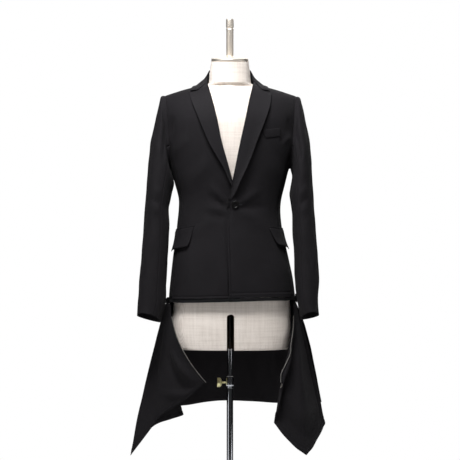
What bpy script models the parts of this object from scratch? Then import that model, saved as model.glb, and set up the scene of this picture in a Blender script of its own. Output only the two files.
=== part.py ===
"""A tailored jacket with a zip-off tail, on a limbless dress form with a pole stand.

Metres, +Z up. +X is the wearer's left, the front faces -Y, and the origin is on the floor on the pole's axis.
Every cloth piece is modelled on its lining side and thickened outwards, so that pieces sewn edge to edge stay apart.
"""

import math
from bisect import bisect
from collections import namedtuple

import bpy
from mathutils import Matrix, Vector

# Driving dimensions of the cloth
CLOTH = 0.0016  # suiting with its canvas
TAIL_CLOTH = 0.0012  # the tail is a single layer
STAND_CLOTH = 0.0014  # the collar's stand
SEAM = 0.0004  # between two pieces that are sewn together
ROUND = 2.35  # the power of the rounded oblong that a section follows
MIDDLE_Y = 0.005  # the side line, between the front and the back
SEAM_ANGLE = math.radians(68)  # the side body's seams, measured from the centre front and the centre back
NECK_X, NECK_Z = 0.0695, 1.4575  # where the shoulder seam meets the neck
SHOULDER_SLOPE = 0.35
SHOULDER_PAD = 0.004  # how far the pads raise the shoulders' outer part
ARMHOLE_Z, ARMHOLE_RISE, ARMHOLE_IN = 1.205, 0.060, 0.013
CHEST_Z = 1.255  # rows below this are level, and those above it fan out to the shoulder seam
LOW_ROWS = 8
# The rows above the chest close up where the shoulder turns over
HIGH_ROWS = (0, 0.15, 0.30, 0.457, 0.607, 0.740, 0.844, 0.929, 0.982, 1)
GORGE_Z, NOTCH_Z = 1.4560, 1.4322  # the ends of the seam between the lapel and the collar
LAPEL_CORNER = {"left": (0.1200, 1.4255), "right": (0.1172, 1.4255)}
ON_CLOTH = CLOTH + 0.0012  # the lining side of a piece that lies on a panel, over the panel's own
HEM_Z, HEM_TILT, ZIP_TAPE = 0.8125, 0.028, 0.010
BACK_NECK_Z = 1.452

# Driving dimensions of the dress form and its stand
NECK_TILT = math.radians(6.4)
NECK_TOP = Vector((0, -0.0075, 1.5205))
SLOT_WIDTH, SLOT_TOP = 0.0177, 0.773
POLE_RADIUS, TUBE_RADIUS, TUBE_BORE = 0.0080, 0.0096, 0.0083
TUBE_TOP, TUBE_FOOT, POLE_FOOT, POLE_TOP = 0.5900, 0.0343, 0.300, 0.7676
CLAMP_RADIUS, CLAMP_LOW, CLAMP_TOP = 0.0125, 0.5577, 0.5932
SCREW_Z, SCREW_RADIUS, KNOB_RADIUS = 0.5744, 0.0028, 0.0141
BASE_RADIUS, BASE_THICK = 0.150, 0.034

Section = namedtuple("Section", "z left right front back")
JACKET = (
    Section(0.800, 0.1915, 0.1790, 0.128, 0.128),
    Section(0.826, 0.1920, 0.1797, 0.129, 0.130),
    Section(0.882, 0.1853, 0.1745, 0.127, 0.128),
    Section(0.934, 0.1740, 0.1685, 0.122, 0.121),
    Section(0.990, 0.1605, 0.1605, 0.115, 0.109),
    Section(1.045, 0.1513, 0.1549, 0.109, 0.098),
    Section(1.085, 0.1481, 0.1503, 0.107, 0.093),
    Section(1.120, 0.1520, 0.1508, 0.109, 0.094),
    Section(1.165, 0.1635, 0.1630, 0.115, 0.101),
    Section(1.205, 0.1735, 0.1745, 0.119, 0.107),
    Section(1.274, 0.1947, 0.1910, 0.123, 0.114),
    Section(1.330, 0.2000, 0.1960, 0.122, 0.117),
    Section(1.390, 0.2050, 0.2005, 0.117, 0.115),
    Section(1.430, 0.2110, 0.2060, 0.112, 0.109),
    Section(1.480, 0.2120, 0.2070, 0.108, 0.103),
)
FORM = (
    Section(0.670, 0.1714, 0.1655, 0.104, 0.108),
    Section(0.690, 0.1752, 0.1690, 0.107, 0.111),
    Section(0.735, 0.1800, 0.1705, 0.111, 0.116),
    Section(0.800, 0.1780, 0.1675, 0.112, 0.119),
    Section(0.860, 0.1720, 0.1640, 0.110, 0.117),
    Section(0.934, 0.1610, 0.1560, 0.106, 0.109),
    Section(1.000, 0.1480, 0.1490, 0.100, 0.096),
    Section(1.085, 0.1380, 0.1400, 0.096, 0.083),
    Section(1.165, 0.1500, 0.1500, 0.104, 0.090),
    Section(1.230, 0.1600, 0.1580, 0.110, 0.098),
    Section(1.300, 0.1660, 0.1640, 0.111, 0.104),
    Section(1.360, 0.1680, 0.1660, 0.108, 0.105),
    Section(1.400, 0.1660, 0.1640, 0.103, 0.101),
    Section(1.447, 0.1600, 0.1580, 0.097, 0.093),
)

# The neck of the form above its shoulders: half width, and the front and back in y
NeckRing = namedtuple("NeckRing", "z half front back")
NECK = (
    NeckRing(1.4550, 0.0622, -0.0590, 0.0520),
    NeckRing(1.4680, 0.0610, -0.0590, 0.0505),
    NeckRing(1.4870, 0.0595, -0.0595, 0.0480),
    NeckRing(1.5050, 0.0568, -0.0610, 0.0465),
    NeckRing(1.5205, 0.0548, -0.0620, 0.0470),
)

# The open edge of each front, x at each height: the closing edge up to the break, then the roll line
Edge = namedtuple("Edge", "z left right")
FRONT_EDGE = (
    Edge(0.800, 0.0000, 0.0300),
    Edge(1.041, -0.0070, 0.0300),
    Edge(1.0895, -0.0090, 0.0290),
    Edge(1.106, -0.0050, 0.0250),
    Edge(1.174, 0.0085, 0.0061),
    Edge(1.203, 0.0147, -0.0020),
    Edge(1.2755, 0.0293, -0.0226),
    Edge(1.342, 0.0437, -0.0362),
    Edge(1.400, 0.0555, -0.0500),
    Edge(1.4575, 0.0690, -0.0665),
)
# The outer edge of each lapel, x at each height
LAPEL_EDGE = (
    Edge(1.109, 0.0010, 0.0225),
    Edge(1.131, 0.0150, 0.0165),
    Edge(1.165, 0.0292, -0.0010),
    Edge(1.203, 0.0466, -0.0175),
    Edge(1.238, 0.0611, -0.0375),
    Edge(1.2785, 0.0757, -0.0600),
    Edge(1.316, 0.0901, -0.0757),
    Edge(1.346, 0.1018, -0.0880),
    Edge(1.379, 0.1136, -0.1025),
    Edge(1.4115, 0.1195, -0.1150),
    Edge(1.4255, 0.1200, -0.1172),
)

# Rings of the sleeves below the armhole, measured outside the cloth: the outer and the inner side seen from the
# front, and the middle and half depth seen from the side
SleeveRing = namedtuple("SleeveRing", "outer_x outer_z inner_x inner_z middle_y half_depth")
SLEEVES = {
    "right": (
        SleeveRing(0.2030, 1.4165, 0.1780, 1.2010, 0.004, 0.0600),
        SleeveRing(0.2085, 1.3980, 0.1765, 1.1930, 0.002, 0.0670),
        SleeveRing(0.2165, 1.3560, 0.1730, 1.1820, 0.000, 0.0720),
        SleeveRing(0.2260, 1.3120, 0.1695, 1.1690, -0.003, 0.0740),
        SleeveRing(0.2340, 1.2740, 0.1680, 1.1550, -0.006, 0.0740),
        SleeveRing(0.2400, 1.2150, 0.1705, 1.1320, -0.010, 0.0730),
        SleeveRing(0.2455, 1.1500, 0.1755, 1.1080, -0.014, 0.0700),
        SleeveRing(0.2495, 1.0950, 0.1797, 1.0850, -0.018, 0.0670),
        SleeveRing(0.2525, 1.0450, 0.1774, 1.0450, -0.022, 0.0640),
        SleeveRing(0.2560, 0.9900, 0.1795, 0.9900, -0.029, 0.0610),
        SleeveRing(0.2605, 0.9300, 0.1825, 0.9300, -0.037, 0.0580),
        SleeveRing(0.2655, 0.8700, 0.1855, 0.8700, -0.045, 0.0555),
        SleeveRing(0.2690, 0.8170, 0.1875, 0.8150, -0.053, 0.0535),
        SleeveRing(0.2710, 0.7735, 0.2005, 0.7555, -0.060, 0.0510),
    ),
    "left": (
        SleeveRing(0.2065, 1.4130, 0.1805, 1.2060, 0.004, 0.0600),
        SleeveRing(0.2120, 1.3930, 0.1815, 1.1980, 0.002, 0.0670),
        SleeveRing(0.2200, 1.3560, 0.1822, 1.1900, 0.000, 0.0720),
        SleeveRing(0.2300, 1.3080, 0.1829, 1.1800, -0.003, 0.0740),
        SleeveRing(0.2372, 1.2630, 0.1805, 1.1640, -0.006, 0.0740),
        SleeveRing(0.2410, 1.2100, 0.1775, 1.1450, -0.010, 0.0725),
        SleeveRing(0.2435, 1.1600, 0.1752, 1.1275, -0.014, 0.0700),
        SleeveRing(0.2465, 1.1050, 0.1790, 1.1000, -0.018, 0.0670),
        SleeveRing(0.2505, 1.0550, 0.1829, 1.0650, -0.022, 0.0640),
        SleeveRing(0.2535, 1.0100, 0.1836, 1.0100, -0.028, 0.0610),
        SleeveRing(0.2585, 0.9400, 0.1880, 0.9500, -0.036, 0.0580),
        SleeveRing(0.2605, 0.8776, 0.1890, 0.8850, -0.045, 0.0550),
        SleeveRing(0.2580, 0.8170, 0.1945, 0.8300, -0.053, 0.0525),
        SleeveRing(0.2600, 0.7750, 0.2062, 0.7640, -0.060, 0.0500),
    ),
}
SLEEVE_SEAMS = (-118, 112)  # degrees from the top of the sleeve: the hind seam and the front seam

# Half of the collar's leaf, from the gorge round to the centre back: its fold, its middle, and its edge, which
# rests on the shoulder at x and y
CollarStation = namedtuple("CollarStation", "fold_x fold_y fold_z mid_x mid_y mid_z edge_x edge_y")
COLLAR = (
    CollarStation(0.0672, -0.0170, 1.4585, 0.0935, -0.0475, 1.4362, 0.1125, -0.0160),
    CollarStation(0.0664, 0.0010, 1.4695, 0.0835, -0.0040, 1.4600, 0.1060, 0.0050),
    CollarStation(0.0645, 0.0150, 1.4835, 0.0785, 0.0225, 1.4665, 0.0975, 0.0270),
    CollarStation(0.0590, 0.0310, 1.4965, 0.0690, 0.0400, 1.4730, 0.0830, 0.0450),
    CollarStation(0.0430, 0.0490, 1.5010, 0.0490, 0.0590, 1.4740, 0.0560, 0.0610),
    CollarStation(0.0000, 0.0570, 1.5030, 0.0000, 0.0675, 1.4770, 0.0000, 0.0735),
)
# Half of the collar's stand: how far along the back neckline its seam is, and its top under the fold
StandStation = namedtuple("StandStation", "seam_x top_x top_y top_z")
STAND = (
    StandStation(0.0688, 0.0640, 0.0080, 1.4690),
    StandStation(0.0650, 0.0605, 0.0205, 1.4830),
    StandStation(0.0520, 0.0505, 0.0365, 1.4925),
    StandStation(0.0300, 0.0290, 0.0495, 1.4960),
    StandStation(0.0000, 0.0000, 0.0540, 1.4975),
)

# One hanging quarter of the tail: a cone of cloth from the last closed point of the zip to the free edges. The
# stations go along the front edge from the open end of the zip to the point, and then along the hem to the side.
# The top columns are steps away from the cone's point, and sag is how far the middle of the line hangs out. The
# last station is the side seam, which starts where the zipped part does.
Hang = namedtuple("Hang", "top_x top_y hem_x hem_y hem_z sag_x sag_y")
TAIL_POINTS = {"right": Vector((-0.1780, -0.0120, 0.8060)), "left": Vector((0.1895, -0.0120, 0.8160))}
TAIL_QUARTERS = {
    "right": (
        Hang(0.0045, -0.0180, -0.0737, -0.090, 0.5782, -0.026, -0.021),
        Hang(0.0025, -0.0160, -0.1398, -0.068, 0.5226, -0.012, -0.012),
        Hang(-0.0010, -0.0110, -0.2010, -0.038, 0.4808, -0.004, -0.004),
        Hang(-0.0060, -0.0040, -0.2290, -0.018, 0.4440, -0.002, 0.000),
        Hang(-0.0115, 0.0080, -0.2943, 0.020, 0.3563, -0.003, 0.000),
        Hang(-0.0090, 0.0125, -0.2780, 0.036, 0.3930, -0.005, 0.000),
        Hang(-0.0010, 0.0120, -0.2259, 0.058, 0.4403, -0.008, 0.000),
        Hang(0.0055, 0.0075, -0.1763, 0.084, 0.4571, -0.013, 0.000),
        Hang(0.0075, 0.0095, -0.1400, 0.102, 0.4686, -0.018, 0.000),
        Hang(0.0060, 0.0125, -0.1600, 0.124, 0.4760, -0.012, 0.000),
        Hang(0.0030, 0.0155, -0.2050, 0.106, 0.4830, -0.004, 0.000),
        Hang(0.0000, 0.0000, -0.2500, 0.070, 0.4900, 0.000, 0.000),
    ),
    "left": (
        Hang(-0.006, -0.020, 0.1498, -0.092, 0.5648, 0.016, 0.000),
        Hang(-0.003, -0.017, 0.1740, -0.124, 0.5400, 0.020, 0.000),
        Hang(-0.001, -0.014, 0.1600, -0.102, 0.5000, 0.014, 0.000),
        Hang(-0.001, -0.011, 0.1283, -0.080, 0.4629, 0.008, 0.000),
        Hang(0.000, -0.008, 0.1700, -0.084, 0.4120, 0.004, 0.000),
        Hang(0.000, -0.005, 0.2216, -0.085, 0.3744, 0.000, 0.000),
        Hang(0.001, -0.001, 0.2560, -0.030, 0.4090, 0.000, 0.000),
        Hang(0.001, 0.003, 0.2809, 0.030, 0.4511, 0.000, 0.000),
        Hang(-0.004, 0.005, 0.2540, 0.058, 0.4650, 0.004, 0.000),
        Hang(-0.008, 0.008, 0.2160, 0.078, 0.4780, 0.008, 0.000),
        Hang(-0.004, 0.013, 0.2330, 0.104, 0.4900, 0.004, 0.000),
        Hang(0.0000, 0.0000, 0.2740, 0.088, 0.5085, 0.000, 0.000),
    ),
}
# The zipped part of the tail: the angle of each line of cloth on the jacket's hem, and where it ends below
Flare = namedtuple("Flare", "degrees hem_x hem_y hem_z")
TAIL_BACK = (
    Flare(-89, -0.2500, 0.070, 0.4900),
    Flare(-110, -0.2420, 0.120, 0.4880),
    Flare(-130, -0.2050, 0.165, 0.4885),
    Flare(-150, -0.1300, 0.190, 0.4930),
    Flare(-168, -0.0550, 0.212, 0.4990),
    Flare(-180, 0.0100, 0.205, 0.5020),
    Flare(-195, 0.0800, 0.208, 0.4985),
    Flare(-212, 0.1450, 0.190, 0.4960),
    Flare(-232, 0.2100, 0.172, 0.4985),
    Flare(-252, 0.2520, 0.132, 0.5040),
    Flare(-271, 0.2740, 0.088, 0.5085),
)

COLOURS = {
    "suiting": ((0.012, 0.012, 0.014), 0.85, 0.0),
    "facing": ((0.014, 0.014, 0.016), 0.80, 0.0),
    "zip tape": ((0.010, 0.010, 0.011), 0.90, 0.0),
    "nickel": ((0.55, 0.53, 0.50), 0.35, 1.0),
    "horn": ((0.010, 0.010, 0.010), 0.40, 0.0),
    "linen": ((0.80, 0.74, 0.64), 0.90, 0.0),
    "chrome": ((0.75, 0.75, 0.77), 0.12, 1.0),
    "brass": ((0.62, 0.56, 0.36), 0.30, 1.0),
    "painted steel": ((0.70, 0.70, 0.71), 0.40, 0.6),
}


def mix(a, b, share):
    return a + (b - a) * share


def eased(share):
    """0 to 1 with a soft start and end."""
    share = min(max(share, 0.0), 1.0)
    return share * share * (3 - 2 * share)


def read(rows, column, z):
    """The value of a column at a height, on a smooth curve through the rows."""
    heights = [row.z for row in rows]
    values = [getattr(row, column) for row in rows]
    last = len(rows) - 1
    z = min(max(z, heights[0]), heights[last])
    i = min(bisect(heights, z) - 1, last - 1)

    def slope(k):
        low, high = max(k - 1, 0), min(k + 1, last)
        return (values[high] - values[low]) / (heights[high] - heights[low])

    step = heights[i + 1] - heights[i]
    t = (z - heights[i]) / step
    rise = values[i + 1] - values[i]
    bend = slope(i) * step * t * (1 - t) ** 2 - slope(i + 1) * step * t * t * (1 - t)
    return values[i] + rise * (3 * t * t - 2 * t**3) + bend


def along(points, share):
    """A point on a smooth curve through the given ones, at a share of their number."""
    last = len(points) - 1
    place = min(max(share, 0.0), 1.0) * last
    i = min(int(place), last - 1)
    t = place - i
    a, b = points[i], points[i + 1]
    before, after = points[max(i - 1, 0)], points[min(i + 2, last)]
    out, back = (b - before) / 2, (after - a) / 2
    return a + (b - a) * (3 * t * t - 2 * t**3) + out * (t * (1 - t) ** 2) - back * (t * t * (1 - t))


# The surface of the trunk
def ridge(x, body):
    """How high the shoulder is at x. The form's is lower under the cloth, and more under the shoulder pad."""
    outside = NECK_Z - SHOULDER_SLOPE * (abs(x) - NECK_X) + SHOULDER_PAD * eased((abs(x) - 0.085) / 0.07)
    if body is JACKET:
        return outside - CLOTH
    return outside - CLOTH - 0.0042 - 0.007 * eased((abs(x) - 0.095) / 0.09)


def half_width(body, side, z):
    return read(body, side, z) - (CLOTH if body is JACKET else 0)


def depth(body, face, x, z):
    """How far the trunk reaches in front of or behind the side line at x and z."""
    side = "left" if x >= 0 else "right"
    across = min(abs(x) / half_width(body, side, z), 1.0)
    full = read(body, face, z) - (CLOTH if body is JACKET else 0)
    reach = 0.14 - 0.275 * min(abs(x), 0.2)
    below = min(max((ridge(x, body) - z) / reach, 0.0), 1.0)
    return full * (1 - across**ROUND) ** (1 / ROUND) * math.sqrt(1 - (1 - below) ** 2)


def bare(body, angle, z):
    """A point on the trunk: the angle is 0 at the centre front and grows towards the wearer's left."""
    side, face = "left" if math.sin(angle) >= 0 else "right", "front" if math.cos(angle) >= 0 else "back"
    sign = 1 if side == "left" else -1
    x = sign * half_width(body, side, z) * abs(math.sin(angle)) ** (2 / ROUND)
    forward = -1 if face == "front" else 1
    return Vector((x, MIDDLE_Y + forward * depth(body, face, x, z), z))


def wrap(angle, z, lift=0.0):
    """A point on the jacket's lining side, moved out of the cloth by lift."""
    point = bare(JACKET, angle, z)
    if lift == 0:
        return point
    step, drop = 0.004, 0.0006
    around = bare(JACKET, angle + step, z) - bare(JACKET, angle - step, z)
    down = bare(JACKET, angle, z - drop) - point
    normal = down.cross(around).normalized()
    return point + normal * lift


def angle_of(face, x, z):
    side = "left" if x >= 0 else "right"
    share = min(abs(x) / half_width(JACKET, side, z), 1.0) ** (ROUND / 2)
    turn = math.asin(share)
    turn = turn if face == "front" else math.pi - turn
    return turn if x >= 0 else -turn


def on_body(face, x, z, lift=0.0):
    return wrap(angle_of(face, x, z), z, lift)


def over_shoulder(x, y):
    """The height of the lining side at x and y, where the trunk is seen from above."""
    side, face = "left" if x >= 0 else "right", "front" if y < MIDDLE_Y else "back"
    z = ridge(x, JACKET)
    for _ in range(8):
        across = min(abs(x) / half_width(JACKET, side, z), 0.99)
        full = (read(JACKET, face, z) - CLOTH) * (1 - across**ROUND) ** (1 / ROUND)
        share = min(abs(y - MIDDLE_Y) / full, 0.98)
        z = ridge(x, JACKET) - (0.14 - 0.275 * min(abs(x), 0.2)) * (1 - math.sqrt(1 - share * share))
    return z


def clear_of_shoulder(point, lift):
    """The point, raised where it would be nearer to the lining side than lift."""
    step = 0.002
    z = over_shoulder(point.x, point.y)
    slope_x = (over_shoulder(point.x + step, point.y) - z) / step
    slope_y = (over_shoulder(point.x, point.y + step) - z) / step
    above = lift * math.sqrt(1 + slope_x**2 + slope_y**2)
    return Vector((point.x, point.y, max(point.z, z + above)))


def armhole_x(side, z):
    """How far out the armhole's edge is. It meets the side line at the bottom of the armhole."""
    inward = ARMHOLE_IN * min(max((z - ARMHOLE_Z) / ARMHOLE_RISE, 0.0), 1.0)
    return half_width(JACKET, side, z) - inward


def panel_x(side, z):
    """Where a front or back panel ends: at the side body's seam, and higher up at the armhole."""
    return min(half_width(JACKET, side, z) * math.sin(SEAM_ANGLE) ** (2 / ROUND), armhole_x(side, z))


def shoulder_end(side):
    """The outer end of the shoulder seam, x and z."""
    z = NECK_Z
    for _ in range(12):
        z = ridge(armhole_x(side, z), JACKET)
    return armhole_x(side, z), z


def low_edge(x):
    """The lower edge of the zip tape, which is the jacket's lowest line."""
    return HEM_Z + HEM_TILT * x


def overlap_lift(x, z):
    """How far the upper front stands off the body where it lies on the under one, and on its lapel."""
    on_front = (CLOTH + SEAM) * eased((0.080 - x) / 0.040)
    by_height = eased((z - 1.070) / 0.045) * (1 - eased((z - 1.180) / 0.075))
    return on_front + (CLOTH + 0.0028) * by_height * eased((0.058 - x) / 0.045)


# Blender objects
def clear_scene():
    for thing in list(bpy.data.objects):
        bpy.data.objects.remove(thing, do_unlink=True)


def material(name):
    known = bpy.data.materials.get(name)
    if known:
        return known
    colour, roughness, metallic = COLOURS[name]
    made = bpy.data.materials.new(name)
    made.use_nodes = True
    shader = made.node_tree.nodes["Principled BSDF"]
    shader.inputs["Base Color"].default_value = (*colour, 1)
    shader.inputs["Roughness"].default_value = roughness
    shader.inputs["Metallic"].default_value = metallic
    made.diffuse_color = (*colour, 1)
    return made


def collection(name):
    made = bpy.data.collections.new(name)
    bpy.context.scene.collection.children.link(made)
    return made


def add_object(name, mesh, finish, place):
    made = bpy.data.objects.new(name, mesh)
    mesh.materials.append(material(finish))
    place.objects.link(made)
    return made


def mesh_of(name, points, faces):
    mesh = bpy.data.meshes.new(name)
    mesh.from_pydata([tuple(p) for p in points], [], faces)
    mesh.update()
    return mesh


def sheet(name, rows, towards, place, finish="suiting", thick=CLOTH, closed=False):
    """A piece of cloth through rows of points, thickened to the side that the middle of it is seen from."""
    wide = len(rows[0])
    points = [point for row in rows for point in row]
    faces = []
    for r in range(len(rows) - 1):
        for c in range(wide if closed else wide - 1):
            right = (c + 1) % wide
            faces.append((r * wide + c, r * wide + right, (r + 1) * wide + right, (r + 1) * wide + c))
    middle = faces[len(faces) // 2]
    a, b, _, d = (points[k] for k in middle)
    if (b - a).cross(d - a).dot(Vector(towards)) < 0:
        faces = [face[::-1] for face in faces]
    made = add_object(name, mesh_of(name, points, faces), finish, place)
    made.data.shade_smooth()
    shell = made.modifiers.new("cloth", "SOLIDIFY")
    shell.thickness = thick
    shell.offset = 1
    return made


def turned(name, profile, finish, place, sides=32, hollow=False):
    """A turned piece: its profile, radius and height, runs down the outer side. A hollow one closes on itself."""
    count = len(profile)
    edges = [(k, k + 1) for k in range(count - 1)] + ([(count - 1, 0)] if hollow else [])
    mesh = bpy.data.meshes.new(name)
    mesh.from_pydata([(r, 0, z) for r, z in profile], edges, [])
    made = add_object(name, mesh, finish, place)
    screw = made.modifiers.new("turn", "SCREW")
    screw.steps = screw.render_steps = sides
    screw.use_merge_vertices = True
    screw.merge_threshold = 0.00001
    return made


def cylinder(name, radius, start, end, finish, place, sides=24):
    """A straight bar between two points."""
    run = Vector(end) - Vector(start)
    bpy.ops.mesh.primitive_cylinder_add(vertices=sides, radius=radius, depth=run.length)
    made = bpy.context.object
    made.name = made.data.name = name
    made.data.materials.append(material(finish))
    for owner in list(made.users_collection):
        owner.objects.unlink(made)
    place.objects.link(made)
    turn = run.to_track_quat("Z", "Y").to_matrix().to_4x4()
    made.matrix_world = Matrix.Translation((Vector(start) + Vector(end)) / 2) @ turn
    return made


def block(name, size, matrix, finish, place, bevel=0.0):
    """A box of a size, placed by a matrix, with rounded edges."""
    bpy.ops.mesh.primitive_cube_add(size=1)
    made = bpy.context.object
    made.name = made.data.name = name
    made.data.transform(Matrix.Diagonal((*size, 1)))
    made.data.materials.append(material(finish))
    for owner in list(made.users_collection):
        owner.objects.unlink(made)
    place.objects.link(made)
    made.matrix_world = matrix
    if bevel:
        rounded = made.modifiers.new("rounded", "BEVEL")
        rounded.width = bevel
        rounded.segments = 1
    return made


def cut(target, cutter, operation="DIFFERENCE"):
    cutter.hide_render = True
    cutter.display_type = "WIRE"
    boolean = target.modifiers.new("cut", "BOOLEAN")
    boolean.operation = operation
    boolean.object = cutter


# The dress form
def form_ring(z, count):
    """A level section of the form. Above the shoulder points it narrows to where the shoulder line is."""
    def reach(side):
        low, high = 0.0, half_width(FORM, side, z)
        sign = 1 if side == "left" else -1
        if ridge(sign * high, FORM) >= z:
            return high
        for _ in range(30):
            middle = (low + high) / 2
            low, high = (middle, high) if ridge(sign * middle, FORM) > z else (low, middle)
        return low

    reaches = {"left": reach("left"), "right": reach("right")}
    ring = []
    for k in range(count):
        angle = math.tau * (k + 0.5) / count
        side, face = "left" if math.sin(angle) >= 0 else "right", "front" if math.cos(angle) >= 0 else "back"
        x = (1 if side == "left" else -1) * reaches[side] * abs(math.sin(angle)) ** (2 / ROUND)
        forward = -1 if face == "front" else 1
        ring.append(Vector((x, MIDDLE_Y + forward * depth(FORM, face, x, z), z)))
    return ring


def neck_ring(row, count, tilt):
    """A section of the neck. Its tilt is a share of the tilt of the metal cap."""
    middle, deep = (row.front + row.back) / 2, (row.back - row.front) / 2
    ring = []
    for k in range(count):
        angle = math.tau * (k + 0.5) / count
        y = middle - deep * math.cos(angle)
        lean = tilt * math.tan(NECK_TILT) * (y - middle)
        ring.append(Vector((row.half * math.sin(angle), y, row.z + lean)))
    return ring


def make_torso(place, cutters):
    """The linen-covered body: level sections from the flat bottom to the neck, with the slot for the pole."""
    count = 36
    heights = (0.670, 0.683, 0.705, 0.735, 0.770, 0.810, 0.860, 0.920, 0.980, 1.040, 1.100, 1.160, 1.215, 1.270)
    heights += (1.320, 1.360, 1.390, 1.412, 1.428, 1.440, 1.447)
    rings = [form_ring(z, count) for z in heights]
    for share, row in zip((0.0, 0.15, 0.45, 0.75, 1.0), NECK, strict=True):
        rings.append(neck_ring(row, count, share))
    points = [point for ring in rings for point in ring]
    faces = []
    for r in range(len(rings) - 1):
        for c in range(count):
            right = (c + 1) % count
            faces.append((r * count + c, r * count + right, (r + 1) * count + right, (r + 1) * count + c))
    faces.append(tuple(reversed(range(count))))
    faces.append(tuple(range(len(points) - count, len(points))))
    torso = add_object("torso", mesh_of("torso", points, faces), "linen", place)
    torso.data.shade_smooth()

    radius, back = SLOT_WIDTH / 2, POLE_RADIUS + 0.001
    front = -0.150
    arc = [(radius * math.cos(math.pi * k / 12), radius * math.sin(math.pi * k / 12)) for k in range(13)]
    outline = [(radius, 0.640)] + [(x, SLOT_TOP - radius + z) for x, z in arc] + [(-radius, 0.640)]
    size = len(outline)
    points = [(x, y, z) for y in (front, back) for x, z in outline]
    faces = [tuple(range(size)), tuple(reversed(range(size, 2 * size)))]
    faces += [(k, k + size, (k + 1) % size + size, (k + 1) % size) for k in range(size)]
    slot = add_object("slot_cutter", mesh_of("slot_cutter", points, faces), "linen", cutters)
    cut(torso, slot)


def make_neck_metal(place):
    """The satin cap on the neck and the rod that screws into it, both tilted with the neck."""
    tilt = Matrix.Translation(NECK_TOP) @ Matrix.Rotation(NECK_TILT, 4, "X")
    rim, foot = 0.0547, 0.0105
    low = 0.0004
    cap = ((0, 0.0155), (foot + 0.002, 0.0153), (rim - 0.0010, 0.0088), (rim, 0.0078), (rim, low + 0.0008))
    cap += ((rim - 0.0008, low), (0, low))
    turned("neck_cap", cap, "nickel", place, 32).matrix_world = tilt
    start = 0.0158
    rod = ((0, 0.1090), (0.0094, 0.1090), (0.0112, 0.1070), (0.0114, 0.0870), (0.0108, 0.0838), (0.0097, 0.0828))
    rod += ((0.0097, 0.0805), (0.0110, 0.0790), (0.0112, 0.0765), (foot, 0.0745), (foot, 0.0008), (foot - 0.0008, 0))
    rod += ((0, 0),)
    finial = turned("finial", [(r, z + start) for r, z in rod], "nickel", place, 20)
    finial.matrix_world = tilt


def make_stand(place, cutters):
    """The pole, the tube that it slides in, the clamp with its thumbscrew, and a plain round base."""
    cylinder("inner_pole", POLE_RADIUS, (0, 0, POLE_FOOT), (0, 0, POLE_TOP), "chrome", place, 28)
    wall = ((TUBE_RADIUS, TUBE_TOP), (TUBE_RADIUS, TUBE_FOOT), (TUBE_BORE, TUBE_FOOT), (TUBE_BORE, TUBE_TOP))
    tube = turned("outer_tube", wall, "chrome", place, 28, hollow=True)
    bore, lip = TUBE_RADIUS + 0.0003, TUBE_TOP + 0.0003
    collar = ((CLAMP_RADIUS - 0.0008, CLAMP_TOP), (CLAMP_RADIUS, CLAMP_TOP - 0.0008), (CLAMP_RADIUS, CLAMP_LOW + 0.0008))
    collar += ((CLAMP_RADIUS - 0.0008, CLAMP_LOW), (bore, CLAMP_LOW), (bore, lip), (TUBE_BORE, lip), (TUBE_BORE, CLAMP_TOP))
    clamp = turned("clamp_collar", collar, "chrome", place, 24, hollow=True)
    start, end = (-0.020, 0, SCREW_Z), (-0.004, 0, SCREW_Z)
    hole = cylinder("screw_cutter", SCREW_RADIUS + 0.0004, start, end, "chrome", cutters, 16)
    cut(tube, hole)
    cut(clamp, hole)

    outer, inner = 0.0378, POLE_RADIUS + 0.0003
    face = outer - 0.0218
    screw = ((0, 0), (KNOB_RADIUS - 0.0015, 0), (KNOB_RADIUS, -0.0015), (KNOB_RADIUS, -0.0070))
    screw += ((KNOB_RADIUS - 0.0020, -0.0110), (KNOB_RADIUS - 0.0065, -0.0140), (0.0050, -face), (0.0042, -face - 0.0030))
    screw += ((SCREW_RADIUS, -face - 0.0034), (SCREW_RADIUS, inner - outer), (0, inner - outer))
    thumb = turned("thumbscrew", screw, "brass", place, 20)
    thumb.matrix_world = Matrix.Translation((-outer, 0, SCREW_Z)) @ Matrix.Rotation(-math.pi / 2, 4, "Y")

    boss, rim = 0.0175, 0.0090
    plate = ((0, BASE_THICK), (boss - 0.001, BASE_THICK), (boss, BASE_THICK - 0.001), (boss, 0.020), (0.030, 0.0165))
    plate += ((BASE_RADIUS - 0.010, rim), (BASE_RADIUS - 0.002, 0.0070), (BASE_RADIUS, 0.0045), (BASE_RADIUS, 0.0010))
    plate += ((BASE_RADIUS - 0.001, 0), (0, 0))
    turned("base_plate", plate, "painted steel", place, 36)


# The jacket's body
FRONT_COLUMNS = (0, 0.10, 0.22, 0.35, 0.48, 0.61, 0.74, 0.87, 1)
BACK_COLUMNS = (0, 0.13, 0.23, 0.31, 0.355, 0.50, 0.67, 0.84, 1)


def row_shares():
    """Each row's part, lower or upper, and its share of that part's height. The rows close up at the shoulder."""
    lower = [("low", k / LOW_ROWS) for k in range(LOW_ROWS)]
    return lower + [("high", share) for share in HIGH_ROWS]


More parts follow.
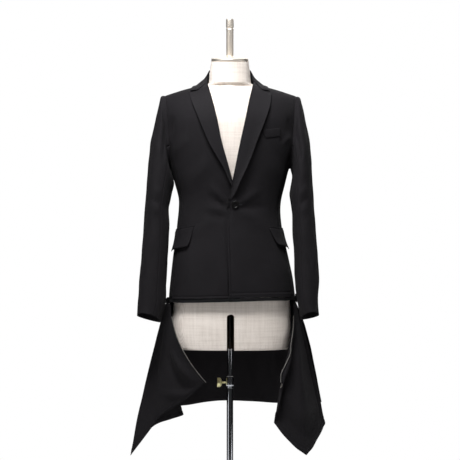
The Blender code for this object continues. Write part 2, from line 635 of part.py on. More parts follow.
def make_front(side, place):
    """A front, from its closing edge and roll line to the side seam, the armhole and the shoulder seam."""
    sign = 1 if side == "left" else -1
    _, end_z = shoulder_end(side)
    neck_z = ridge(NECK_X, JACKET)
    rows = []
    for part, share in row_shares():
        row = []
        inner_z = mix(CHEST_Z, neck_z, share)
        outer_z = mix(CHEST_Z, end_z, share)
        for column in FRONT_COLUMNS:
            if part == "low":
                outer = panel_x(side, CHEST_Z)
                rough = sign * mix(sign * read(FRONT_EDGE, side, HEM_Z), outer, column)
                z = mix(low_edge(rough) + ZIP_TAPE, CHEST_Z, share)
                inner_z = outer_z = z
            else:
                z = mix(inner_z, outer_z, column)
            inner, outer = sign * read(FRONT_EDGE, side, inner_z), panel_x(side, outer_z) - SEAM / 2
            x = sign * mix(inner, outer, column)
            if share == 1:
                z = ridge(x, JACKET)
            lift = overlap_lift(x, z) if side == "left" else 0.0
            point = on_body("front", x, z, lift)
            row.append(point - Vector((0, SEAM / 2, 0)))
        rows.append(row)
    return sheet(f"front_{side}", rows, (0, -1, 0), place)


def make_back(side, place):
    """A back, from the centre seam to the side seam, the armhole, the shoulder seam and the neckline."""
    sign = 1 if side == "left" else -1
    end_x, end_z = shoulder_end(side)
    rows = []
    for part, share in row_shares():
        row = []
        for column in BACK_COLUMNS:
            top_x = end_x * column
            top_z = back_neckline(top_x) if top_x < NECK_X else ridge(top_x, JACKET)
            if part == "low":
                rough = sign * panel_x(side, CHEST_Z) * column
                z = outer_z = mix(low_edge(rough) + ZIP_TAPE, CHEST_Z, share)
            else:
                z = mix(CHEST_Z, top_z, share)
                outer_z = mix(CHEST_Z, end_z, share)
            x = sign * mix(SEAM / 2, panel_x(side, outer_z) - SEAM / 2, column)
            if share == 1 and abs(x) > NECK_X:
                z = ridge(x, JACKET)
            row.append(on_body("back", x, z) + Vector((0, SEAM / 2, 0)))
        rows.append(row)
    return sheet(f"back_{side}", rows, (0, 1, 0), place)


def make_side(side, place):
    """The side body under the arm: it ends above at the bottom of the armhole."""
    sign = 1 if side == "left" else -1
    columns, rows = 4, []
    gap = 0.0024
    tops = []
    for c in range(columns + 1):
        angle = mix(SEAM_ANGLE + gap, math.pi - SEAM_ANGLE - gap, c / columns)
        across = math.sin(angle) ** (2 / ROUND)
        low, high = ARMHOLE_Z, ARMHOLE_Z + ARMHOLE_RISE
        for _ in range(30):
            z = (low + high) / 2
            outside = armhole_x(side, z) > half_width(JACKET, side, z) * across
            low, high = (z, high) if outside else (low, z)
        tops.append((angle, low - 0.0006))
    for share in (k / LOW_ROWS for k in range(LOW_ROWS + 1)):
        row = []
        for angle, top in tops:
            bottom = low_edge(sign * half_width(JACKET, side, HEM_Z)) + ZIP_TAPE
            row.append(wrap(sign * angle, mix(bottom, top, share)))
        rows.append(row)
    return sheet(f"side_{side}", rows, (sign, 0, 0), place)


def make_lapel(side, place):
    """The facing that shows as the lapel: it lies on the front from the roll line to its outer edge."""
    sign = 1 if side == "left" else -1
    top_z, corner_z, low_z = GORGE_Z - 0.0009, LAPEL_CORNER[side][1], 1.112 if side == "left" else 1.128
    dip = NOTCH_Z - 0.0009 - (top_z + corner_z) / 2
    heights = [low_z, 1.1285 + (low_z - 1.112) / 2, 1.1468, 1.1740, 1.2009, 1.2280]
    heights += [mix(CHEST_Z, top_z, share) for share in HIGH_ROWS]
    rows = []
    for roll_z in heights:
        share = (roll_z - low_z) / (top_z - low_z)
        edge_z = mix(low_z, corner_z, share)
        roll_x, edge_x = sign * read(FRONT_EDGE, side, roll_z), sign * read(LAPEL_EDGE, side, edge_z)
        row = []
        for column in (0, 0.25, 0.5, 0.75, 1):
            x, z = mix(roll_x, edge_x, column), mix(roll_z, edge_z, column)
            z += dip * (1 - abs(2 * column - 1)) * share**6
            belly = 0.0022 * math.sin(math.pi * column) * eased((share - 0.25) / 0.3) * (1 - share**4)
            lift = ON_CLOTH + belly
            lift += overlap_lift(sign * x, z) if side == "left" else 0.0
            row.append(on_body("front", sign * x, z, lift))
        rows.append(row)
    return sheet(f"lapel_{side}", rows, (0, -1, 0), place, "facing")


def back_neckline(x):
    """The height of the back's neckline, which rises to the shoulder seam."""
    return BACK_NECK_Z + (ridge(NECK_X, JACKET) - BACK_NECK_Z) * (x / NECK_X) ** 2


def mirrored(point, sign):
    return Vector((sign * point[0], point[1], point[2]))


def gorge(side):
    """The seam between the lapel and the collar: x and z of its neck end and of the notch."""
    start = abs(read(FRONT_EDGE, side, GORGE_Z))
    return (start, GORGE_Z), ((start + LAPEL_CORNER[side][0]) / 2, NOTCH_Z)


def gorge_station(side):
    """The collar's front end: along the gorge to the notch, and up its short free edge to the leaf's corner."""
    sign = 1 if side == "left" else -1
    start, notch = gorge(side)
    points = []
    for u in (0.0, 0.5, 1.0):
        x, z = mix(start[0], notch[0], u), mix(start[1], notch[1], u)
        lift = ON_CLOTH + (overlap_lift(x, z) if side == "left" else 0.0)
        points.append(on_body("front", sign * x, z, lift))
    corner_x, corner_y = COLLAR[0].edge_x, COLLAR[0].edge_y
    corner = Vector((sign * corner_x, corner_y, over_shoulder(sign * corner_x, corner_y)))
    return (*points, mix(points[2], corner, 0.5), corner)


def leaf_stations(side):
    """The collar's leaf from the gorge to the centre back, five points across at each station."""
    sign = 1 if side == "left" else -1
    stations = [gorge_station(side)]
    for row in COLLAR[1:]:
        x, y = sign * row.edge_x, row.edge_y
        line = [mirrored(row[0:3], sign), mirrored(row[3:6], sign), Vector((x, y, over_shoulder(x, y)))]
        stations.append(tuple(along(line, share / 4) for share in range(5)))
    return stations


def make_collar(place):
    """The leaf that falls on the shoulders, and the stand round the neck under its fold."""
    stations = leaf_stations("right") + list(reversed(leaf_stations("left")[:-1]))
    count, rows = 20, []
    for k in range(count + 1):
        row = [along([station[j] for station in stations], k / count) for j in range(5)]
        rows.append([clear_of_shoulder(point, ON_CLOTH + 0.0004) for point in row])
    sheet("collar_fall", rows, (0, 1, 0), place, "facing")

    halves = []
    for sign in (-1, 1):
        half = []
        for row in STAND:
            edge = on_body("back", sign * row.seam_x, back_neckline(row.seam_x))
            inward = Vector((-edge.x, -edge.y, 0)).normalized()
            seam = edge + inward * (STAND_CLOTH + 0.0012) + Vector((0, 0, 0.0007))
            half.append((seam, mirrored(row[1:4], sign)))
        halves.append(half)
    stations = halves[0] + list(reversed(halves[1][:-1]))
    count = 16
    rows = []
    for k in range(count + 1):
        seam, top = (along([s[j] for s in stations], k / count) for j in range(2))
        rows.append([mix(seam, top, share / 2) for share in range(3)])
    sheet("collar_stand", rows, (0, 1, 0), place, "facing", thick=STAND_CLOTH)


# The sleeves
def sleeve_ring(side, number, angle):
    """A point of a sleeve: ring 0 is the armhole. The angle is 0 at the top and grows towards the front."""
    sign = 1 if side == "left" else -1
    if number == 0:
        _, top = shoulder_end(side)
        z = mix(ARMHOLE_Z, top, (1 + math.cos(angle)) / 2)
        face = "front" if math.sin(angle) >= 0 else "back"
        edge = armhole_x(side, z)
        point = on_body(face, sign * edge, z)
        away = 0.0010 + 0.0024 * (1 - math.cos(angle)) / 2
        return Vector((point.x + sign * away, point.y, point.z + 0.0008))
    row = SLEEVES[side][number - 1]
    outer = Vector((row.outer_x - CLOTH, 0, row.outer_z))
    inner = Vector((row.inner_x + CLOTH, 0, row.inner_z))
    across = math.copysign(abs(math.cos(angle)) ** 0.92, math.cos(angle))
    forward = math.copysign(abs(math.sin(angle)) ** 0.92, math.sin(angle))
    point = (outer + inner) / 2 + (outer - inner) / 2 * across
    y = row.middle_y - (row.half_depth - CLOTH) * forward
    return Vector((sign * point.x, y, point.z))


def make_sleeve(side, place):
    """The upper sleeve over the outside of the arm, and the under sleeve next to the body."""
    sign = 1 if side == "left" else -1
    hind, front = SLEEVE_SEAMS
    gap = 0.5
    pieces = (("upper", hind + gap, front - gap, 14, sign), ("under", front + gap, 360 + hind - gap, 8, -sign))
    for piece, first, last, columns, way in pieces:
        rows = []
        for number in range(len(SLEEVES[side]) + 1):
            angles = [math.radians(mix(first, last, c / columns)) for c in range(columns + 1)]
            rows.append([sleeve_ring(side, number, angle) for angle in angles])
        sheet(f"sleeve_{piece}_{side}", rows, (way, 0, 0), place)


# Pockets and the button
def patch(name, side, corners, down, lift, place, thick, flare=0.0):
    """A small piece that lies on a front: its four corners are angles in degrees and heights."""
    sign = 1 if side == "left" else -1
    (a0, z0), (a1, z1), (a2, z2), (a3, z3) = corners
    rows = []
    for r in range(down + 1):
        v = r / down
        row = []
        for c in range(8):
            u = c / 7
            degrees = mix(mix(a0, a1, u), mix(a3, a2, u), v)
            z = mix(mix(z0, z1, u), mix(z3, z2, u), v)
            row.append(wrap(sign * math.radians(degrees), z, lift + flare * v * v))
        rows.append(row)
    return sheet(name, rows, (sign * 0.3, -1, 0), place, "suiting", thick)


def make_pockets(place):
    """The flaps with a jetting above each, slanting down to the back, and the welt on the wearer's left chest."""
    on_panel = ON_CLOTH + 0.0004
    flap_right = ((38, 1.0325), (97, 1.0150), (93, 0.9580), (43, 0.9750))
    flap_left = ((44, 1.0290), (97, 1.0200), (93, 0.9640), (53, 0.9800))
    for side, corners in (("right", flap_right), ("left", flap_left)):
        patch(f"hip_flap_{side}", side, corners, 3, on_panel, place, 0.0016, 0.0022)
        (a0, z0), (a1, z1) = corners[0], corners[1]
        jet = ((a0 - 1, z0 + 0.0062), (a1 + 1, z1 + 0.0062), (a1 + 1, z1 + 0.0008), (a0 - 1, z0 + 0.0008))
        patch(f"hip_jet_{side}", side, jet, 1, on_panel, place, 0.0012)

    inner, outer = 0.0925, 0.1445
    rows = []
    for v in (0.0, 0.5, 1.0):
        row = []
        for c in range(5):
            x = mix(inner + 0.010 * v, outer, c / 4)
            high, low = mix(1.3130, 1.3195, c / 4), mix(1.2895, 1.2960, c / 4)
            row.append(on_body("front", x, mix(high, low, v), CLOTH + 0.0006))
        rows.append(row)
    sheet("breast_welt", rows, (0, -1, 0), place, "suiting", 0.0014)


def make_button(place):
    """A horn button of 20 mm with a raised rim, sewn through at the waist."""
    x, z, radius, thick = 0.0156, 1.0976, 0.0100, 0.0032
    lift = overlap_lift(x, z) + CLOTH + 0.0007
    centre = on_body("front", x, z, lift)
    normal = (on_body("front", x, z, lift + 0.01) - centre).normalized()
    profile = ((0, 0.0020), (radius - 0.0032, 0.0020), (radius - 0.0022, thick), (radius - 0.0008, thick))
    profile += ((radius, thick - 0.0010), (radius - 0.0004, 0.0008), (radius - 0.0030, 0), (0, 0))
    made = turned("front_button", profile, "horn", place, 20)
    made.matrix_world = Matrix.Translation(centre) @ normal.to_track_quat("Z", "Y").to_matrix().to_4x4()


# The zip along the hem, and the tail
def hem_strip(name, angles, side, place):
    """A stretch of the zip's tape along the jacket's hem."""
    rows = []
    for share in (0.0, 1.0):
        row = []
        for angle in angles:
            x = bare(JACKET, angle, HEM_Z).x
            z = mix(low_edge(x), low_edge(x) + ZIP_TAPE - 0.0004, share)
            on_front = side == "left" and math.cos(angle) > 0
            row.append(wrap(angle, z, overlap_lift(x, z) if on_front else 0.0))
        rows.append(row)
    middle = angles[len(angles) // 2]
    return sheet(name, rows, (math.sin(middle), -math.cos(middle), 0), place, "zip tape")


def make_hem_zips(place):
    edges = {side: angle_of("front", read(FRONT_EDGE, side, HEM_Z), HEM_Z) for side in ("left", "right")}
    side_line, gap, steps = math.radians(88), math.radians(0.3), 12
    left = [mix(edges["left"], side_line, k / steps) for k in range(steps + 1)]
    right = [mix(edges["right"], -side_line, k / steps) for k in range(steps + 1)]
    hem_strip("hem_zip_left", left, "left", place)
    hem_strip("hem_zip_right", right, "right", place)
    steps = 20
    back = [mix(side_line + gap, math.tau - side_line - gap, k / steps) for k in range(steps + 1)]
    hem_strip("hem_zip_back", back, "back", place)


def zipped_top(row):
    """Where a line of the zipped part meets the hem."""
    angle = math.radians(row.degrees)
    return wrap(angle, low_edge(bare(JACKET, angle, HEM_Z).x) - SEAM - 0.0006)


def quarter_line(side, share):
    """One line of a hanging quarter: its top, its end on the free edge, and how it sags between them."""
    start = TAIL_POINTS[side]
    tops = [start + Vector((row.top_x, row.top_y, 0)) for row in TAIL_QUARTERS[side][:-1]]
    tops.append(zipped_top(TAIL_BACK[0 if side == "right" else -1]))
    hems = [Vector((row.hem_x, row.hem_y, row.hem_z)) for row in TAIL_QUARTERS[side]]
    sags = [Vector((row.sag_x, row.sag_y, 0)) for row in TAIL_QUARTERS[side]]
    return along(tops, share), along(hems, share), along(sags, share)


def quarter_point(side, share, down):
    top, hem, sag = quarter_line(side, share)
    return mix(top, hem, down) + sag * (4 * down * (1 - down))


def make_tail(place):
    """The zipped back of the tail, its two hanging quarters, and the open zip on their top edges."""
    columns, rows_down = 24, 5
    tops = [zipped_top(row) for row in TAIL_BACK]
    hems = [Vector((row.hem_x, row.hem_y, row.hem_z)) for row in TAIL_BACK]
    edge = 0.0012
    lines = [mix(edge, 1 - edge, c / columns) for c in range(columns + 1)]
    rows = [[mix(along(tops, s), along(hems, s), r / rows_down) for s in lines] for r in range(rows_down + 1)]
    sheet("tail_back", rows, (0, 1, 0), place, thick=TAIL_CLOTH)

    columns = 33
    for side in ("right", "left"):
        lines = [mix(0, 1 - edge, c / columns) for c in range(columns + 1)]
        downs = [(r / 6) ** 0.9 for r in range(7)]
        rows = [[quarter_point(side, s, down) for s in lines] for down in downs]
        made = sheet(f"tail_front_{side}", rows, (0, -1, 0), place, thick=TAIL_CLOTH)
        front_face = made.data.polygons[columns * 5 + 2]
        if front_face.normal.y > 0:
            made.data.flip_normals()

        tape, steps = 0.0050, 10
        last = 0.93 if side == "left" else 1.0
        rows = []
        for k in range(steps + 1):
            down = mix(0.17, last, k / steps)
            near, inside = quarter_point(side, 0, down), quarter_point(side, 0.03, down)
            outward = (near - inside).normalized()
            rows.append([near + outward * 0.0006, near + outward * tape])
        sheet(f"tail_zip_{side}", rows, (0, -1, 0), place, "zip tape")

    end, before = quarter_point("left", 0, 1.0), quarter_point("left", 0, 0.93)
    inside = quarter_point("left", 0.03, 1.0)
    down, outward = (end - before).normalized(), (end - inside).normalized()
    across = (outward - down * outward.dot(down)).normalized()
    facing = across.cross(down)
    turn = Matrix((across, facing, down)).transposed().to_4x4()
    centre = end - down * 0.0085 + across * 0.0029
    block("zip_box", (0.0046, 0.0034, 0.0160), Matrix.Translation(centre) @ turn, "nickel", place, 0.0006)


def make_sliders(place, cutters):
    """A slider at each end of the closed zip, with a pull tab that hangs from its bridge."""
    for side in ("left", "right"):
        sign = 1 if side == "left" else -1
        angle = sign * math.radians(95)
        x = bare(JACKET, angle, HEM_Z).x
        face = wrap(angle, low_edge(x) + 0.0062, CLOTH + 0.0004)
        thick, high, long = 0.0030, 0.0110, 0.0120
        middle = Vector((face.x + sign * thick / 2, face.y, face.z))
        body = block(f"slider_{side}", (thick, long, high), Matrix.Translation(middle), "nickel", place, 0.0006)
        bar_x, bar_z = face.x + sign * (thick + 0.0029), face.z + 0.0015
        reach = abs(bar_x - face.x) - thick + 0.0012
        for end in (-1, 1):
            post_at = Vector((face.x + sign * (thick - 0.0006 + reach / 2), face.y + end * 0.0044, bar_z))
            post_size = (reach + 0.0004, 0.0016, 0.0022)
            post = block(f"post_{side}_{end + 1}", post_size, Matrix.Translation(post_at), "nickel", cutters)
            cut(body, post, "UNION")
        start, end = (bar_x, face.y - 0.0048, bar_z), (bar_x, face.y + 0.0048, bar_z)
        bar = cylinder(f"bar_{side}", 0.0009, start, end, "nickel", cutters, 12)
        cut(body, bar, "UNION")

        eye = ((0.0022, 0.0026), (0.0022, -0.0026), (0.0013, -0.0026), (0.0013, 0.0026))
        tab = turned(f"pull_tab_{side}", eye, "nickel", place, 16, hollow=True)
        tab.matrix_world = Matrix.Translation((bar_x, face.y, bar_z)) @ Matrix.Rotation(-math.pi / 2, 4, "X")
        plate_at = Matrix.Translation((bar_x, face.y, bar_z - 0.0018 - 0.0080))
        plate = block(f"plate_{side}", (0.0014, 0.0052, 0.0160), plate_at, "nickel", cutters)
        cut(tab, plate, "UNION")


def main():
    clear_scene()
    place = collection("tailored jacket on a dress form")
    cutters = collection("cutters")
    make_torso(place, cutters)
    make_neck_metal(place)
    make_stand(place, cutters)
    for side in ("left", "right"):
        make_front(side, place)
        make_back(side, place)
        make_side(side, place)
        make_lapel(side, place)
        make_sleeve(side, place)
    make_collar(place)
    make_pockets(place)
    make_button(place)
    make_hem_zips(place)
    make_tail(place)
    make_sliders(place, cutters)


main()
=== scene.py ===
# %% [markdown]
# # A tailored jacket with a zip-off tail, on a dress form
#
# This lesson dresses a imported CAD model. The CAD solids give every piece its true place, and here each
# cloth piece is made again as a thin shell on the same form, with its creases, stitches and weave. All
# lengths are in metres, +Z is up, the front faces -Y and +X is the wearer's left.

# %% The frame
import math
from bisect import bisect
from collections import namedtuple

import bmesh
import bpy
from mathutils import Matrix, Vector, noise


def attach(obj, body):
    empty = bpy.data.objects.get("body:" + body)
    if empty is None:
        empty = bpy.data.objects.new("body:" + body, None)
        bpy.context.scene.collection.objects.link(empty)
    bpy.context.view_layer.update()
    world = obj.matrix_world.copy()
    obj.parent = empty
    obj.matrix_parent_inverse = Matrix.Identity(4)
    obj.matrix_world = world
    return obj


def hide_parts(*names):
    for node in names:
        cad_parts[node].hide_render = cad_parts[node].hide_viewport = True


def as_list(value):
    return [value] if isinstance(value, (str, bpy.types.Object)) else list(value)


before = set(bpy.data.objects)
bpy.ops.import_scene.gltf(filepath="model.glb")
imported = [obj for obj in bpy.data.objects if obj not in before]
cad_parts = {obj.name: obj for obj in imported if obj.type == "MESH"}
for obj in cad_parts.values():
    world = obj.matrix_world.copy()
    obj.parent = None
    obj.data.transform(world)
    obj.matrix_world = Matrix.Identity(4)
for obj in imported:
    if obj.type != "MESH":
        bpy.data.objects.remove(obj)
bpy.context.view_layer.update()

# %% [markdown]
# ## The camera first
#
# The photograph is taken from straight in front and from far away, with a long lens: verticals stay
# parallel and the shoulders aren't wider than the hem. Setting the camera before anything else means that
# every later choice can be compared with the photograph. A pixel is 2.95 mm at the pole.

# %% The camera
PIXEL, FRAME_PIXELS, DISTANCE, EYE_HEIGHT = 0.00295, 460, 5.5, 1.0237


def linked(name, data):
    """A new object in the scene."""
    made = bpy.data.objects.new(name, data)
    bpy.context.scene.collection.objects.link(made)
    return made


lens = bpy.data.cameras.new("camera")
lens.sensor_width = 36
lens.lens = lens.sensor_width * DISTANCE / (PIXEL * FRAME_PIXELS)
camera = linked("camera", lens)
camera.location = (0.0003, -DISTANCE, EYE_HEIGHT)
camera.rotation_euler = (math.radians(90), 0, 0)
bpy.context.scene.camera = camera
print("lens of", round(lens.lens, 1), "mm")

# %% [markdown]
# ## Small helpers
#
# A value that changes smoothly between the rows of a table is wanted everywhere: the width of the chest,
# the edge of a lapel, the sag of a tail. One cubic curve does it, with the slope at each row taken from its
# neighbours.


# %% Smooth values
SIGN = {"left": 1, "right": -1}


def side_of(x):
    return "left" if x >= 0 else "right"


def mix(a, b, share):
    return a + (b - a) * share


def clamp(value, low=0.0, high=1.0):
    return min(max(value, low), high)


def eased(share):
    """0 to 1 with a soft start and end."""
    share = clamp(share)
    return share * share * (3 - 2 * share)


def bump(distance, width):
    """1 at no distance, and almost nothing beyond two widths."""
    return math.exp(-((distance / width) ** 2))


def smooth(heights, values):
    """A function that runs smoothly through the values at rising heights."""
    last = len(heights) - 1
    slopes = []
    for k in range(last + 1):
        low, high = max(k - 1, 0), min(k + 1, last)
        slopes.append((values[high] - values[low]) / (heights[high] - heights[low]))

    def at(z):
        z = clamp(z, heights[0], heights[last])
        i = min(bisect(heights, z) - 1, last - 1)
        step = heights[i + 1] - heights[i]
        t = (z - heights[i]) / step
        bend = slopes[i] * step * t * (1 - t) ** 2 - slopes[i + 1] * step * t * t * (1 - t)
        return values[i] + (values[i + 1] - values[i]) * (3 * t * t - 2 * t**3) + bend

    return at


def columns_of(rows):
    """Each column of a table as a smooth function of its z."""
    heights = [row.z for row in rows]
    names = [name for name in rows[0]._fields if name != "z"]
    return {name: smooth(heights, [getattr(row, name) for row in rows]) for name in names}


def shares(count):
    """So many equal steps from 0 to 1."""
    return [k / count for k in range(count + 1)]


def along(points, share):
    """A point on a smooth curve through the given ones, at a share of their number."""
    last = len(points) - 1
    place = clamp(share) * last
    i = min(int(place), last - 1)
    t = place - i
    a, b = points[i], points[i + 1]
    before, after = points[max(i - 1, 0)], points[min(i + 2, last)]
    out, back = (b - before) / 2, (after - a) / 2
    return a + (b - a) * (3 * t * t - 2 * t**3) + out * (t * (1 - t) ** 2) - back * (t * t * (1 - t))


def linear(colour):
    """An sRGB hex colour as the linear colour that Blender's shaders take."""
    parts = [int(colour[k : k + 2], 16) / 255 for k in (1, 3, 5)]
    return (*[c / 12.92 if c <= 0.04045 else ((c + 0.055) / 1.055) ** 2.4 for c in parts], 1)


def add_node(tree, kind, settings, inputs):
    """A node with its settings, and a value or a link for each named input."""
    node = tree.nodes.new(kind)
    for name, value in settings.items():
        setattr(node, name, value)
    for name, value in inputs.items():
        if isinstance(value, bpy.types.NodeSocket):
            tree.links.new(value, node.inputs[name])
        else:
            node.inputs[name].default_value = value
    return node


# %% [markdown]
# ## The finishes
#
# The jacket is worsted wool suiting: a smooth combed yarn in a fine twill, pressed flat, so it is matt with
# a faint sheen where it turns away from the eye. The form is covered with plain cream linen, whose uneven
# threads show. The cap and rod are satin nickel, the pole is chromed steel, the clamp's screw is lacquered
# brass.


# %% A finish and its grain
def shader_of(finish):
    return finish.node_tree.nodes["Principled BSDF"]


def new_finish(name, colour, roughness, metallic=0.0):
    """A named material with one shader, whose plain sockets are set here."""
    made = bpy.data.materials.new(name)
    made.use_nodes = True
    shader = shader_of(made)
    shader.inputs["Base Color"].default_value = linear(colour)
    shader.inputs["Roughness"].default_value = roughness
    shader.inputs["Metallic"].default_value = metallic
    made.diffuse_color = linear(colour)
    return made


def object_place(tree):
    return add_node(tree, "ShaderNodeTexCoord", {}, {}).outputs["Object"]


def stretched(tree, place, factors):
    """The place with its distances multiplied along each axis."""
    inputs = {0: place, 1: factors}
    return add_node(tree, "ShaderNodeVectorMath", {"operation": "MULTIPLY"}, inputs).outputs[0]


def sum_of(tree, operation, *values, clamped=False):
    """The result of one sum with values and links."""
    settings = {"operation": operation, "use_clamp": clamped}
    return add_node(tree, "ShaderNodeMath", settings, dict(enumerate(values))).outputs[0]


def clouds(tree, place, scale, detail):
    """A soft random pattern between 0 and 1."""
    inputs = {"Vector": place, "Scale": scale, "Detail": detail}
    return add_node(tree, "ShaderNodeTexNoise", {}, inputs).outputs["Fac"]


def raise_surface(tree, shader, strength, distance, height):
    """Lets a pattern tilt the surface, as if it had that height."""
    inputs = {"Strength": strength, "Distance": distance, "Height": height}
    bumps = add_node(tree, "ShaderNodeBump", {}, inputs)
    tree.links.new(bumps.outputs["Normal"], shader.inputs["Normal"])


def woven(name, dark, light, thread, roughness, sheen, twill, relief, slub, streaks=0.0):
    """A woven cloth: thread is the distance between threads, and slub says how uneven they are."""
    made = new_finish(name, light, roughness)
    tree, shader = made.node_tree, shader_of(made)
    place = object_place(tree)
    split = add_node(tree, "ShaderNodeSeparateXYZ", {}, {"Vector": place}).outputs
    along_hem = sum_of(tree, "ADD", split["X"], split["Y"])
    turns, threads = math.tau / thread, []
    # The ribs of a twill rise to one side, and the threads of a plain weave cross at a right angle.
    for across, up in ((1.0, 1.0), (0.35, -1.0)) if twill else ((1.0, 0.0), (0.0, -1.0)):
        run = sum_of(tree, "MULTIPLY", along_hem, across * turns)
        threads.append(sum_of(tree, "SINE", sum_of(tree, "MULTIPLY_ADD", split["Z"], up * turns, run)))
    weave = sum_of(tree, "MULTIPLY_ADD", threads[1], 0.35 if twill else 1.0, threads[0])
    yarn = sum_of(tree, "MULTIPLY_ADD", clouds(tree, place, 0.35 / thread, 4.0), slub, weave)
    raise_surface(tree, shader, relief, thread * 0.25, yarn)
    tone = add_node(tree, "ShaderNodeMapRange", {}, {"Value": yarn, "From Min": -1.4, "From Max": 1.4 + slub})
    both = sum_of(tree, "MULTIPLY_ADD", clouds(tree, place, 14.0, 3.0), 0.4, tone.outputs[0], clamped=True)
    # Streaks along both threads are the thick places of a slubby yarn.
    for stretch in ((1.0, 1.0, 0.05), (0.05, 0.05, 1.0)) if streaks else ():
        slubs = clouds(tree, stretched(tree, place, stretch), 0.22 / thread, 2.0)
        centred = sum_of(tree, "SUBTRACT", slubs, 0.5)
        both = sum_of(tree, "MULTIPLY_ADD", centred, streaks, both, clamped=True)
    shades = add_node(tree, "ShaderNodeMix", {"data_type": "RGBA"}, {"Factor": both})
    colours = [socket for socket in shades.inputs if socket.type == "RGBA"]
    colours[0].default_value, colours[1].default_value = linear(dark), linear(light)
    result = [socket for socket in shades.outputs if socket.type == "RGBA"][0]
    tree.links.new(result, shader.inputs["Base Color"])
    shader.inputs["Sheen Weight"].default_value = sheen
    shader.inputs["Sheen Roughness"].default_value = 0.45
    shader.inputs["Specular IOR Level"].default_value = 0.14
    return made


def metal(name, colour, roughness, grain, relief, stretch):
    """A metal with polishing lines: grain is their spacing, and stretch gives their direction."""
    made = new_finish(name, colour, roughness, 1.0)
    tree, shader = made.node_tree, shader_of(made)
    lines = clouds(tree, stretched(tree, object_place(tree), stretch), 1 / grain, 3.0)
    limits = {"Value": lines, "To Min": roughness * 0.8, "To Max": roughness * 1.3}
    worn = add_node(tree, "ShaderNodeMapRange", {}, limits)
    tree.links.new(worn.outputs[0], shader.inputs["Roughness"])
    raise_surface(tree, shader, relief, 0.0001, lines)
    return made


# %% The finishes of this jacket and its form
# Worsted twill has about 2 threads to a millimetre. It is drawn at 1.1 mm, so that it shows in a near view.
worsted = woven("black worsted twill", "#09080a", "#1a181b", thread=0.0011, roughness=0.82, sheen=0.012,
                twill=True, relief=0.5, slub=0.5)
# The lapels and the collar are the same cloth, pressed flat over canvas, and a little smoother.
pressed = woven("pressed black worsted", "#0a090b", "#1b191c", thread=0.0011, roughness=0.74, sheen=0.012,
                twill=True, relief=0.4, slub=0.4)
# The zip's tape is a finer, plain weave of smooth yarn.
zip_tape = woven("woven polyester zip tape", "#070708", "#131315", thread=0.0008, roughness=0.7, sheen=0.02,
                 twill=False, relief=0.5, slub=0.2)
# Plain-woven linen: slubby threads about 1 mm apart, which show as a faint lattice.
linen = woven("cream linen", "#d0c4b9", "#f9f0e8", thread=0.0012, roughness=0.82, sheen=0.10,
              twill=False, relief=0.6, slub=1.2, streaks=0.8)
# Inside its slot the form is raw fibreboard, dark partly in its own colour and partly as painted shade of the
# narrow groove.
fibreboard_with_slot_shade = woven("raw fibreboard", "#2c2118", "#57452f", thread=0.0020, roughness=0.9, sheen=0.0,
                   twill=False, relief=0.4, slub=1.0)
silk_thread = woven("black silk thread", "#141416", "#303036", thread=0.0003, roughness=0.45, sheen=0.10,
                    twill=True, relief=0.3, slub=0.2)
# Polishing lines: none, round an upright piece, along it, and round one that lies along X
EVEN, TURNED, DRAWN, FACED = (1.0, 1.0, 1.0), (1.0, 1.0, 12.0), (1.0, 1.0, 0.1), (12.0, 1.0, 1.0)
satin_nickel = metal("satin nickel plate", "#f3eade", 0.46, grain=0.0016, relief=0.20, stretch=TURNED)
chrome = metal("polished chrome plate", "#c4c7cd", 0.10, grain=0.0200, relief=0.0, stretch=DRAWN)
lacquered_brass = metal("lacquered pale brass", "#ded8a6", 0.36, grain=0.0010, relief=0.15, stretch=FACED)
zip_nickel = metal("nickel-plated zip brass", "#a5a29c", 0.30, grain=0.0006, relief=0.10, stretch=EVEN)
# The zip's teeth come in two copies: those on the hem are darkened as painted shade, those on the free edges
# lightened as painted light.
hem_teeth_painted_shade = metal("zip teeth with painted shade", "#2c2b2a", 0.40, grain=0.0006, relief=0.10, stretch=EVEN)
free_edge_teeth_painted_light = metal("zip teeth with painted light", "#a09e9b", 0.40, grain=0.0006, relief=0.10, stretch=EVEN)
painted_steel = metal("grey powder coat", "#c9c9cc", 0.45, grain=0.0008, relief=0.5, stretch=EVEN)
shader_of(painted_steel).inputs["Metallic"].default_value = 0.0
horn = new_finish("polished black horn", "#060505", 0.38)
shader_of(horn).inputs["Specular IOR Level"].default_value = 0.16
print("finishes:", len(bpy.data.materials))

# %% [markdown]
# ## The trunk
#
# A jacket on a form is a tube whose sections are rounded oblongs. A table gives the half widths and depths
# at each height, as a cutter's measures would, and a sloping line gives the shoulders. Each cloth piece
# then asks this one surface where it lies, so that neighbours meet at their seams. The numbers are those of
# the CAD solids.

# %% The measures of the jacket and of the form
CLOTH, TAIL_CLOTH, STAND_CLOTH, SEAM = 0.0016, 0.0012, 0.0014, 0.0004
ON_CLOTH = CLOTH + 0.0012
# The sections are a little squarer than an ellipse, for which this power would be 2.
ROUND = 2.35
MIDDLE_Y, SEAM_ANGLE = 0.005, math.radians(68)
NECK_X, NECK_Z, BACK_NECK_Z, SHOULDER_SLOPE, SHOULDER_PAD = 0.0695, 1.4575, 1.452, 0.35, 0.004
ARMHOLE_Z, ARMHOLE_RISE, ARMHOLE_IN, CHEST_Z = 1.205, 0.060, 0.013, 1.255
HEM_Z, HEM_TILT, ZIP_TAPE = 0.8125, 0.028, 0.010
GORGE_Z, NOTCH_Z = 1.4560, 1.4300
LAPEL_CORNER = {"left": (0.1200, 1.4185), "right": (0.1172, 1.4185)}

